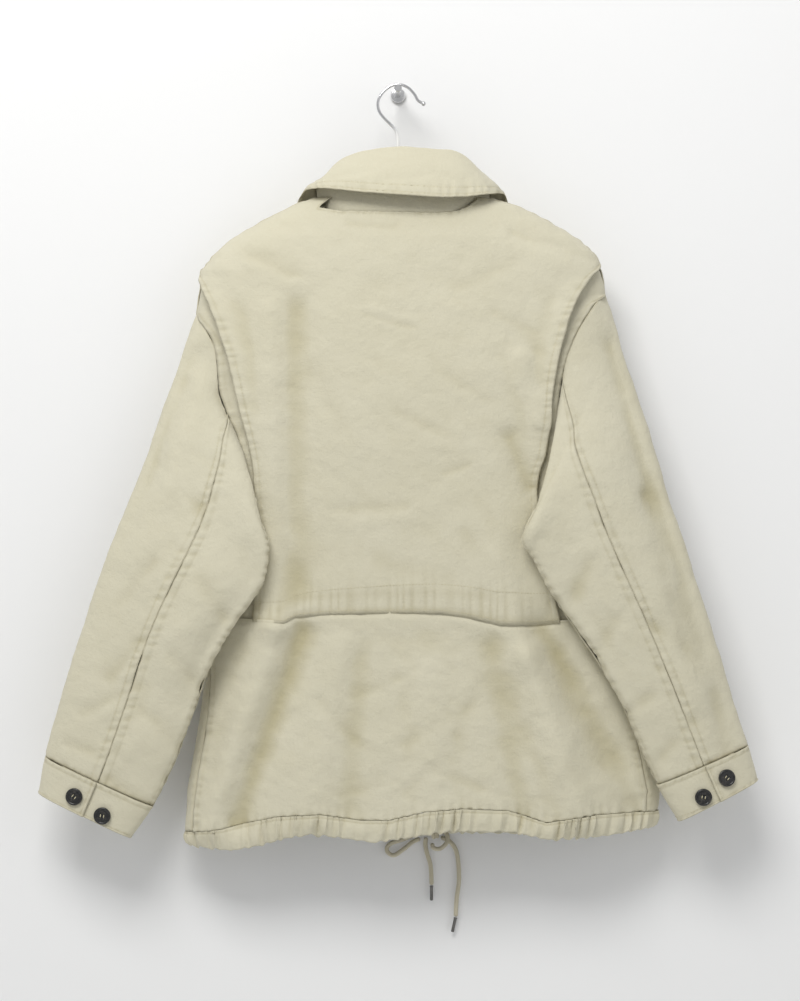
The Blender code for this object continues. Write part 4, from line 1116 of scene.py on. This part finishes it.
def sleeveForm(side, along, around):
    # the sleeve as a flattened tube, before it joins the armhole
    row = curveAt(sleeveStations[side], along / (len(sleeveStations[side]) - 1))
    outer, inner = row[..., 0:3], row[..., 3:6]
    angle = around * 2 * math.pi
    across = signedPower(np.cos(angle), 2 / sleeve["squareness"])
    bulge = signedPower(np.sin(angle), 2 / sleeve["squareness"])
    point = (outer + inner) / 2 + (outer - inner) / 2 * across[..., None]
    deep = bulge * np.where(bulge > 0, row[..., 6], row[..., 7])
    return point - stack(0 * deep, deep, 0 * deep)


armholeRings = {}
for side in "lr":
    ring = np.array(armholeBack(side) + armholeFront(side)[-2:0:-1])
    armholeRings[side] = bodyAt(ring[:, 0], ring[:, 1])


def ringPoint(side, around):
    points = armholeRings[side]
    place = (around % 1) * len(points)
    first = np.floor(place).astype(int)
    t = (place - first)[..., None]
    a, b, c, d = (points[(first + step) % len(points)] for step in (-1, 0, 1, 2))
    return 0.5 * (2 * b + (c - a) * t + (2 * a - 5 * b + 4 * c - d) * t ** 2
                  + (3 * b - a - 3 * c + d) * t ** 3)


def sleeveFold(side, along, around):
    share = along / sleeve["cuffStart"]
    total = 0 * share
    for place, turn, reachAlong, reachAround, height in sleeveFolds[side]:
        total = total + height * np.exp(-((share - place) / reachAlong) ** 2
                                        - ((around - turn) / reachAround) ** 2)
    return total * ease(share / 0.12) * ease((1 - share) / 0.08)


def overBody(side, point):
    # 1 where the body's cloth lies under the sleeve, 0 outside the armhole's edge
    x, level = point[..., 0], point[..., 2]
    edge = readTable(armholes[side], level, 1)[0]
    inside = (x - edge) * -sideSign(side)
    top, bottom = armholes[side][0][1], armholes[side][-1][1]
    closed = lerp(top, bottom, sleeve["closedShare"])
    return np.maximum(ease((inside + sleeve["overlapStart"]) / sleeve["overlapReach"]),
                      ease((closed - level) / sleeve["closeFade"]))


def keepClear(side, point, clearance):
    # a point under the body's back moves out through it, as far as the clearance
    centre, half, middle, back, _ = bodySize(point[..., 2])
    across = between(np.abs(point[..., 0] - centre) / (half + clearance))
    power = body["squareness"]
    skin = middle - (back + clearance) * (1 - across ** power) ** (1 / power)
    deep = point[..., 1]
    pushed = np.where((across < 1) & (clearance > 0), np.minimum(deep, skin), deep)
    point[..., 1] = lerp(deep, pushed, overBody(side, point))
    return point


def sleeveAt(side, along, around):
    along, around = np.broadcast_arrays(np.asarray(along, float), around)
    around = around % 1
    joined = 1 - ease(along / sleeve["settle"])
    point = sleeveForm(side, along, around) \
        + (ringPoint(side, around) - sleeveForm(side, 0 * along, around)) * joined[..., None]
    point[..., 1] -= sleeveFold(side, along, around)
    folds = np.maximum(0, crease(point[..., 0], point[..., 2], backFolds))
    step = sleeve["seamStep"] * ease((around - sleeve["stepFrom"]) / sleeve["stepRise"]) \
        * ease((sleeve["stepTo"] - around) / sleeve["stepFall"])
    clearance = np.maximum(step, sleeve["clearance"] * ease(along / sleeve["clearBy"]))
    clearance = clearance + np.where(clearance > 0, folds, 0)
    layer = sleeve["layer"] * ease((0.5 - around) / sleeve["layerFade"]) \
        * ease(along / sleeve["layerBy"])
    clearance = clearance + np.where(around < 0.5, layer, 0)
    return keepClear(side, point, clearance)


# distance round a sleeve, to space its columns evenly
ringTurns = np.linspace(-0.1, 1.6, 3001)
ringSection = stack(80 * signedPower(np.cos(ringTurns * 2 * math.pi), 0.8),
                    23 * signedPower(np.sin(ringTurns * 2 * math.pi), 0.8), 0)
ringRuns = np.concatenate([[0], np.cumsum(lengths(np.diff(ringSection, axis=0)))])


def evenAround(first, last, share):
    run = lerp(np.interp(first, ringTurns, ringRuns), np.interp(last, ringTurns, ringRuns), share)
    return np.interp(run, ringRuns, ringTurns)


def sleeveSheet(side, firstAround, lastAround, firstAlong, lastAlong):
    # across runs to the viewer's right on the back, on both sleeves
    def at(across, down):
        share = across if side == "l" else 1 - across
        down = np.maximum(down, 0) if firstAlong == 0 else down
        return sleeveAt(side, lerp(firstAlong, lastAlong, down),
                        evenAround(firstAround, lastAround, share))

    return at


def sleeveRelief(side, part):
    rows = sleeve["creases"][side] if part == "upper" else sleeve["underCreases"][side]
    seed = {"l": 21.3, "r": 34.9}[side] + (5 if part == "under" else 0)

    def relief(panel, across, down):
        place = panel.bare(across, down)
        x, z = place[..., 0], place[..., 2]
        lean = x + 900 * (place[..., 1] > -12)
        left, right, top, bottom = panel.edges(across, down)
        backSide = ease((-12 - place[..., 1]) / 10)
        folds = crease(x, z, rows) * backSide
        height = rumple(lean, z, seed) + folds
        height = height + 0.5 * crumple(lean, z, 16, seed + 2, 2.4, 65 if side == "l" else -65)
        # painted shade in the hollows of the creases, then along the sewn edges
        paintedShade = between(-folds * 0.06)
        bands = [(top, z, 3.0, 0.3), (bottom, x, 2.0, 0.7)]
        for away, run, width, pucker in bands:
            more, tone = seamBand(away, run, width, seed + width, 0.2, pucker, 10.0)
            height, paintedShade = height + more, paintedShade + tone
        for away, run in ((left, z), (right, z)):
            more, tone = seamBand(away, run, 8.0, seed + 2, 0.4, 0.65, 12.0)
            height, paintedShade = height + more, paintedShade + tone
        return height, paintedShade

    return relief


def makeSleeve(side):
    seam = sleeve["backSeam"]
    upper = Panel(sleeveSheet(side, 0.5, 1 + seam, 0, sleeve["cuffStart"]),
                  sleeveRelief(side, "upper"))
    under = Panel(sleeveSheet(side, seam, 0.5, 0, sleeve["cuffStart"]),
                  sleeveRelief(side, "under"))
    steps = np.linspace(0.01, 0.99, 50)
    made = []
    for part, panel, columns in (("upper", upper, 120), ("under", under, 44)):
        made.append((panel.make(f"sleeve_{side}_{part}_cloth", columns, 180,
                                [f"sleeve_{side}_{part}"]), panel))
        if part == "upper":
            for left in (True, False):
                inset = 8.0 / panel.wide(steps)
                sew(panel, "sleeves", inset if left else 1 - inset, steps)
    return made


def cuffLift(side, around):
    past = around - cuff["start"] - 1 + cuff["ramp"]
    return cuff["lift"] + cuff["lapLift"] * ease(past / cuff["ramp"])


def cuffSheet(side):
    def at(across, down):
        share = across if side == "l" else 1 - across
        around = evenAround(cuff["start"], cuff["start"] + 1 + cuff["lap"], share)
        along = lerp(sleeve["cuffStart"] + 0.012, 12.0, down)
        step = 0.006
        here = sleeveAt(side, along, around)
        roundIt = sleeveAt(side, along, around + step) - sleeveAt(side, along, around - step)
        downIt = sleeveAt(side, along + 0.03, around) - sleeveAt(side, along - 0.03, around)
        out = unit(np.cross(downIt, roundIt)) * (1 if side == "l" else -1)
        return here + out * cuffLift(side, around)[..., None]

    return at


def cuffRelief(panel, across, down):
    place = panel.bare(across, down)
    x, z = place[..., 0], place[..., 2]
    height, paintedShade = 0.45 * rumple(x, z, 41.7), 0 * x
    # painted shade along the sewn edges and in their pucker hollows
    for away, run, width in zip(panel.edges(across, down), (z, z, x, x), (5, 5, 4, 4)):
        more, tone = seamBand(away, run, width, width, 0.25, 0.45, 9.0)
        height, paintedShade = height + more, paintedShade + tone
    return height, paintedShade


def makeCuff(side):
    panel = Panel(cuffSheet(side), cuffRelief)
    made = panel.make(f"cuff_{side}_cloth", 140, 28, ["cuff_" + side], 2.0)
    steps = np.linspace(0.012, 0.988, 60)
    for drop in (4.0, panel.heights.mean() - 4.0):
        sew(panel, "cuffs", steps, drop / panel.high(steps))
    short = np.linspace(0.1, 0.9, 12)
    for inset in (0.012, 0.988):
        sew(panel, "cuffs", 0 * short + inset, short)
    return made, panel


def collarLine(share, column):
    return curveAt([row[column:column + 3] for row in collarSections], share)


def standSheet(across, down):
    # its last part goes on down behind the cape
    across, down = np.broadcast_arrays(np.asarray(across, float), down)
    drop = lerp(collar["standTop"], 1.0, between(down / collar["shown"]))
    under = between((down - collar["shown"]) / (1 - collar["shown"]))
    bare = lerp(collarLine(across, 3), collarLine(across, 0), drop[..., None])
    return bare + stack(0 * drop, collar["tuckIn"] * under,
                        collar["seamLift"] * drop - collar["tuckDown"] * under)


def leafSheet(across, down):
    # up inside the neck, over the fold, then down to the leaf's free edge
    across, down = np.broadcast_arrays(np.asarray(across, float), down)
    inside, arch = collar["inside"], collar["arch"]
    drop = between((down - arch) / (1 - arch), 0, 1.2)
    over = between((down - inside) / (arch - inside))
    fold, edge = collarLine(across, 3), collarLine(across, 6)
    away = unit(stack(fold[..., 0] - collar["neckCentre"], fold[..., 1], 0 * across))
    out = -collar["leafRise"] * np.cos(math.pi * over) \
        + collar["leafBulge"] * np.sin(math.pi * between(drop))
    rise = collar["leafRise"] + collar["crown"] * np.sin(math.pi * over) \
        - collar["facing"] * between(1 - down / inside)
    return lerp(fold, edge, drop[..., None]) + away * out[..., None] \
        + stack(0 * out, 0 * out, rise)


def leafRelief(panel, across, down):
    place = panel.bare(across, down)
    x, z = place[..., 0], place[..., 2]
    left, right, top, bottom = panel.edges(across, down)
    folds = crease(x, z, collar["creases"]) * ease((-8 - place[..., 1]) / 10)
    height = 0.8 * rumple(x + place[..., 1], z, 51.3) + folds
    # painted shade along the sewn edges and in their pucker hollows
    more, paintedShade = seamBand(bottom, x, 4.0, 1.1, 0.35, 0.3, 9.0)
    height = height + more
    more, tone = seamBand(bottom, x, 13.0, 5.1, 0.25, 0.75, 10.0)
    height, paintedShade = height + more, paintedShade + 0.5 * tone
    for away in (left, right):
        more, tone = seamBand(away, z, 5.0, 2.0, 0.3, 0.3, 9.0)
        height, paintedShade = height + more, paintedShade + tone
    return height * ease((down - 0.06) / 0.1), paintedShade


def standRelief(panel, across, down):
    place = panel.bare(across, down)
    left, right, top, bottom = panel.edges(across, down)
    # the second value is painted shade near the stand's top, under the fold of the leaf
    return 0.5 * rumple(place[..., 0] + place[..., 1], place[..., 2], 57.1), 0.35 * bell(top / 6)


def makeCollar():
    leaf = Panel(leafSheet, leafRelief)
    stand = Panel(standSheet, standRelief)
    leafPiece = leaf.make("collar_leaf_cloth", 190, 52, ["collar_leaf"], 1.7)
    standPiece = stand.make("collar_stand_cloth", 180, 22, ["collar_stand"], 1.6)
    steps = np.linspace(0.01, 0.99, 90)
    for drop in (4.0, 13.0):
        sew(leaf, "collar", steps, 1 - drop / leaf.high(steps))
    down = np.linspace(collar["arch"], 0.97, 20)
    for inset in (5.0,):
        sew(leaf, "collar", inset / leaf.wide(down), down)
        sew(leaf, "collar", 1 - inset / leaf.wide(down), down)
    return (leafPiece, leaf), (standPiece, stand)


def casingSheet(across, down):
    # the outer face, round the bottom of the hem and a little way up inside
    across, down = np.broadcast_arrays(np.asarray(across, float), down)
    end = 2 - casing["end"]
    run = lerp(runOf(-end), runOf(end), across)
    turn = turnOf(run)
    face = between(down / casing["face"])
    under = between((down - casing["face"]) / (1 - casing["face"]))
    beat = run / casing["gather"] + 0.32 * np.sin(run * 0.043) + 0.2 * np.sin(run * 0.117 + 2)
    wave = np.sin(2 * math.pi * beat) + 0.45 * np.sin(2 * math.pi * beat * 1.63 + 1.1)
    uneven = 0.55 + 0.45 * np.sin(run * 0.029 + 0.7) * np.sin(run * 0.083)
    pinch = 0.3 + 0.7 * np.sin(math.pi * between(0.12 + 0.6 * face + 0.28 * under))
    wave = wave * uneven
    turned = np.sin(math.pi * under)
    level = lerp(casingTop(turn) - casing["drop"], hemLevel(turn) + casing["round"], face)
    level = level - casing["round"] * turned * (1 - 0.25 * wave) + 1.1 * wave * face \
        + casing["inside"] * ease((under - 0.5) * 2)
    out = casing["puff"] * np.sin(math.pi * between(0.1 + 0.85 * face)) \
        + casing["depth"] * wave * pinch * (1 - 0.6 * under) \
        - casing["thick"] * (1 - np.cos(math.pi * under)) / 2
    folded = casing["slant"] * wave * (1 - face) * np.cos(2 * math.pi * beat)
    turn = turnOf(run + folded)
    place = bodyAt(turn, level) + bodyOut(turn, level) * out[..., None]
    place[..., 2] = level
    return place


def casingRelief(panel, across, down):
    place = panel.bare(across, down)
    x, z = place[..., 0], place[..., 2]
    end = 2 - casing["end"]
    run = lerp(runOf(-end), runOf(end), across)
    left, right, top, bottom = panel.edges(across, down)
    height = 0.3 * crumple(run, z, 14, 61.0, 1.0) + 0.25 * crumple(run, z, 6, 63.0, 1.4, 70)
    row = bell((top - casing["row"]) / 1.2)
    # painted shade at the top edge, along the sewing row and in the low spots of the crumple
    paintedShade = 0.22 * bell(top / 1.2) + 0.25 * row + between(-0.3 * height)
    return height - 0.5 * row, paintedShade


def makeCasing():
    panel = Panel(casingSheet, casingRelief)
    made = panel.make("hem_casing_cloth", 900, 22, ["hem_casing"], 1.2)
    steps = np.linspace(0.002, 0.998, 400)
    sew(panel, "casing", steps, casing["row"] / panel.high(steps))
    return made, panel


def smoothRoute(points, count):
    fine = curveAt(points, np.linspace(0, 1, 600))
    run = np.concatenate([[0], np.cumsum(lengths(np.diff(fine, axis=0)))])
    stops = np.linspace(0, run[-1], count)
    return np.stack([np.interp(stops, run, fine[:, axis]) for axis in range(3)], -1), run[-1]


def makeTube(name, points, radius, finish, nodes, sides=14, count=60, flat=1.0,
             roundEnds=True):
    # a grid wrapped round a route; its ends close in a half round
    route, length = smoothRoute(points, count)
    inner = np.linspace(0, 1, count)
    if roundEnds:
        caps = radius * (1 - np.cos(np.linspace(0, math.pi / 2, 6)[:-1]))
        inner = np.concatenate([caps / length, np.linspace(radius / length, 1 - radius / length,
                                                           count), 1 - caps[::-1] / length])
    rows = len(inner)
    at = np.stack([np.interp(inner, np.linspace(0, 1, count), route[:, axis])
                   for axis in range(3)], -1)
    along = unit(np.gradient(at, axis=0))
    side = np.cross(along, (0, 1, 0))
    weak = lengths(side) < 0.15
    side[weak] = (1, 0, 0)
    side = unit(side)
    deep = unit(np.cross(side, along))
    ends = between(np.minimum(inner, 1 - inner) * length / radius)
    swell = np.sqrt(1 - (1 - ends) ** 2) if roundEnds else np.ones(rows)
    mesh = bmesh.new()
    sheetPlace = mesh.loops.layers.uv.verify()
    bmesh.ops.create_grid(mesh, x_segments=sides, y_segments=rows - 1, size=0.5, calc_uvs=True)
    for vert in mesh.verts:
        angle = (vert.co.x + 0.5) * 2 * math.pi
        row = min(round((vert.co.y + 0.5) * (rows - 1)), rows - 1)
        reach = radius * swell[row]
        vert.co = (at[row] + side[row] * math.cos(angle) * reach
                   + deep[row] * math.sin(angle) * reach * flat) * mm
    for face in mesh.faces:
        for loop in face.loops:
            loop[sheetPlace].uv = (loop[sheetPlace].uv[0] * 2 * math.pi * radius * mm,
                                   loop[sheetPlace].uv[1] * length * mm)
    bmesh.ops.remove_doubles(mesh, verts=mesh.verts, dist=0.005 * mm)
    bmesh.ops.recalc_face_normals(mesh, faces=mesh.faces)
    made = finishPiece(mesh, name, finish, nodes)
    return made, route * mm, length * mm


def turnedShape(profile, steps):
    # a (radius, height) profile in millimetres spun about z into a closed solid
    mesh = bmesh.new()
    verts = [mesh.verts.new((radius * mm, 0, height * mm)) for radius, height in profile]
    edges = [mesh.edges.new(pair) for pair in zip(verts, verts[1:])]
    bmesh.ops.spin(mesh, geom=verts + edges, cent=(0, 0, 0), axis=(0, 0, 1),
                   angle=2 * math.pi, steps=steps, use_merge=True)
    bmesh.ops.remove_doubles(mesh, verts=mesh.verts, dist=0.01 * mm)
    bmesh.ops.recalc_face_normals(mesh, faces=mesh.faces)
    return mesh


def seat(mesh, centre, outward, spin=0.0):
    turn = Vector(outward).to_track_quat("Z", "Y").to_matrix().to_4x4()
    place = Matrix.Translation(Vector(centre) * mm) @ turn @ Matrix.Rotation(spin, 4, "Z")
    bmesh.ops.transform(mesh, matrix=place, verts=mesh.verts)


def makeButton(name, centre, outward, spin):
    # four-hole button: raised rim, dished middle, sewn on with two bars of thread
    rim, deep = button["radius"], button["thickness"]
    dish = [(radius, deep - button["dish"]) for radius in np.linspace(rim - 2.6, 0, 12)]
    mesh = turnedShape([(0, 0), (rim - 0.7, 0), (rim, 0.7), (rim, deep - 1.0),
                        (rim - 0.25, deep - 0.4), (rim - 0.9, deep), (rim - 1.7, deep - 0.1),
                        (rim - 2.2, deep - 0.5)] + dish, 48)
    hole = button["hole"]
    for vert in mesh.verts:
        if vert.co.z < (deep - button["dish"] - 0.01) * mm:
            continue
        x, y = abs(vert.co.x) / mm - hole, abs(vert.co.y) / mm - hole
        inside = 1 - math.hypot(x, y) / button["holeRadius"]
        if inside > 0 and math.hypot(vert.co.x, vert.co.y) < (rim - 2.6) * mm:
            vert.co.z -= button["holeDepth"] * mm * min(1, inside * 2.5)
    seat(mesh, centre, outward, spin)
    finishPiece(mesh, name + "_turned", "button", [name], 50)
    thread = bmesh.new()
    for sign in (-1, 1):
        made = bmesh.ops.create_uvsphere(thread, u_segments=8, v_segments=6, radius=0.5 * mm)
        bmesh.ops.scale(thread, verts=made["verts"], vec=(hole * 2.3, 1.0, 0.9))
        bmesh.ops.translate(thread, verts=made["verts"],
                            vec=(0, sign * hole * mm, (deep - button["dish"] + 0.15) * mm))
    seat(thread, centre, outward, spin)
    finishPiece(thread, name + "_thread", "thread")


def makeButtons(cuffs):
    for side in "lr":
        panel = cuffs[side]
        for number, (around, drop, lap) in enumerate(cuff["buttons"][side], 1):
            run = [np.interp(turn, ringTurns, ringRuns) for turn in
                   (cuff["start"], around + lap, cuff["start"] + 1 + cuff["lap"])]
            share = (run[1] - run[0]) / (run[2] - run[0])
            across = share if side == "l" else 1 - share
            point, _ = panel.point(across, drop)
            outward = panel.out(np.array(across), np.array(drop))
            makeButton(f"cuff_button_{side}_{number}", point + outward * button["seat"],
                       outward, 0.4 + 0.5 * number)
    for number, level in enumerate(front["buttonLevels"], 1):
        outward = bodyOut(2.0, level)
        centre = bodyAt(2.0, level) + outward * (front["lapLift"] + 1.0)
        makeButton(f"front_button_{number}", centre, outward, 0.3 * number)


def makeDrawcord():
    for name, facts in drawcord["ends"].items():
        made, path, length = makeTube(name + "_cord", cordRoutes[name], drawcord["radius"],
                                      "cord", [name], flat=drawcord["flat"],
                                      count=facts["points"])
        print(name, "length", round(length, 4))


def makeAglets():
    for name, (x, y, z, slant) in drawcord["aglets"].items():
        long, wide = drawcord["agletLength"], drawcord["agletRadius"]
        profile = [(0, 0), (wide * 0.75, 0), (wide, 0.5), (wide, long - 1.5),
                   (wide * 1.12, long - 1.2), (wide * 1.12, long - 0.3), (wide, long),
                   (0, long)]
        mesh = turnedShape(profile, 20)
        down = Vector((slant, 0, -1)).normalized()
        seat(mesh, Vector((x, y, z)) + down * long, -down)
        finishPiece(mesh, name + "_tip", "gunmetal", [name], 40)


def makeKnot():
    x, y, z = drawcord["knot"]
    turns = np.linspace(0, 2 * math.pi * 1.75, 30)
    wrap = stack(x + np.linspace(-3.6, 3.6, 30), y + 2.1 * np.cos(turns),
                 z + 3.3 * np.sin(turns))
    makeTube("drawcord_knot_wrap", wrap, drawcord["radius"], "cord",
             ["drawcord_knot"], count=60)


def makeHanger():
    makeTube("hanger_hook_wire", hookRoute, hanger["wire"], "hook", ["hanger_hook"],
             sides=20, count=110)
    ball = bmesh.new()
    bmesh.ops.create_uvsphere(ball, u_segments=24, v_segments=16, radius=hanger["tip"] * mm)
    bmesh.ops.translate(ball, verts=ball.verts, vec=Vector(hookRoute[0]) * mm)
    finishPiece(ball, "hanger_hook_ball", "chrome", ["hanger_hook_tip"])
    makeTube("hanger_arm_bar", armRoute, hanger["arm"], "plastic",
             ["hanger_arms"], sides=24, count=90)


def makePeg():
    wall, flange, shank, head = (peg[part] for part in ("wall", "flange", "shank", "head"))
    rim, deep = flange
    shapes = {
        # node: where its foot stands and its (radius, height) profile towards the room
        "peg_flange": (wall, [(0, 0), (rim, 0), (rim, deep - 1.2), (rim - 0.6, deep - 0.4),
                              (rim - 2, deep), (0, deep)]),
        "peg_shank": (wall - deep - 0.3, [(0, 0), (shank[0], 0), (shank[0], shank[1]),
                                          (0, shank[1])]),
        "peg_head": (-peg["overhang"] - 0.3, [(0, 0), (head[0] - 0.4, 0), (head[0], 0.4),
                                              (head[0], head[1] - 0.5),
                                              (head[0] - 0.6, head[1]), (0, head[1])]),
    }
    for node, (foot, profile) in shapes.items():
        mesh = turnedShape(profile, 40)
        seat(mesh, (0, foot, 0), (0, -1, 0))
        finishPiece(mesh, node + "_turned", "chrome", [node], 30)


def plainFinish(name, colour, roughness, seeThrough=False):
    made = bpy.data.materials.new(name)
    made.use_nodes = True
    tree = made.node_tree
    shader = tree.nodes["Principled BSDF"]
    shader.inputs["Base Color"].default_value = (*colour, 1)
    shader.inputs["Roughness"].default_value = roughness
    shader.inputs["Specular IOR Level"].default_value = 0.2
    if seeThrough:  # the wall doesn't hide the jacket's front from behind it
        clear = tree.nodes.new("ShaderNodeBsdfTransparent")
        side = tree.nodes.new("ShaderNodeNewGeometry")
        both = tree.nodes.new("ShaderNodeMixShader")
        tree.links.new(side.outputs["Backfacing"], both.inputs[0])
        tree.links.new(shader.outputs[0], both.inputs[1])
        tree.links.new(clear.outputs[0], both.inputs[2])
        tree.links.new(both.outputs[0], tree.nodes["Material Output"].inputs["Surface"])
    return made


def makeStage():
    for name, place, turn, size, finish in (
            ("studio_wall", (0, room["wall"], -600), (math.pi / 2, 0, 0), (7000, 4200),
             plainFinish("pale_wall", room["wallColour"], 0.8, True)),
            ("studio_floor", (0, -1500, room["floor"]), (0, 0, 0), (7000, 7000),
             plainFinish("pale_floor", room["floorColour"], 0.7))):
        mesh = bmesh.new()
        bmesh.ops.create_grid(mesh, x_segments=1, y_segments=1, size=0.5)
        bmesh.ops.scale(mesh, vec=(size[0] * mm, size[1] * mm, 1), verts=mesh.verts)
        bmesh.ops.rotate(mesh, verts=mesh.verts,
                         matrix=Euler(turn).to_matrix())
        bmesh.ops.translate(mesh, vec=Vector(place) * mm, verts=mesh.verts)
        data = bpy.data.meshes.new(name)
        mesh.to_mesh(data)
        mesh.free()
        made = bpy.data.objects.new(name, data)
        bpy.context.collection.objects.link(made)
        data.materials.append(finish)


def makeLights():
    for name, facts in lights.items():
        lamp = bpy.data.lights.new(name, "AREA")
        lamp.shape = "RECTANGLE"
        lamp.size, lamp.size_y = facts["size"]
        lamp.energy = facts["power"]
        lamp.color = facts["colour"]
        made = bpy.data.objects.new(name, lamp)
        bpy.context.collection.objects.link(made)
        made.location = facts["place"]
        aim = Vector(facts["aim"]) - Vector(facts["place"])
        made.rotation_euler = aim.to_track_quat("-Z", "Y").to_euler()
    world = bpy.data.worlds.new("studio_air")
    world.use_nodes = True
    air = world.node_tree.nodes["Background"]
    air.inputs["Color"].default_value = (*room["airColour"], 1)
    air.inputs["Strength"].default_value = room["air"]
    bpy.context.scene.world = world
    bpy.context.scene.view_settings.view_transform = "Standard"
    bpy.context.scene.view_settings.look = "None"


makeAglets()
makeDrawcord()
makeKnot()
print("cords laid")
pieces = {"cape": makeCape(), "yoke": makeYoke(), "skirt": makeSkirt()}
for side in "lr":
    pieces["front_" + side] = makeFront(side)
    pieces["upper_" + side], pieces["under_" + side] = makeSleeve(side)
    pieces["cuff_" + side] = makeCuff(side)
pieces["leaf"], pieces["stand"] = makeCollar()
pieces["casing"] = makeCasing()
print("cloth cut")
makeButtons({side: pieces["cuff_" + side][1] for side in "lr"})
makeStitches()
makeHanger()
makePeg()
print("buttons and hanger made")
makeStage()
makeLights()
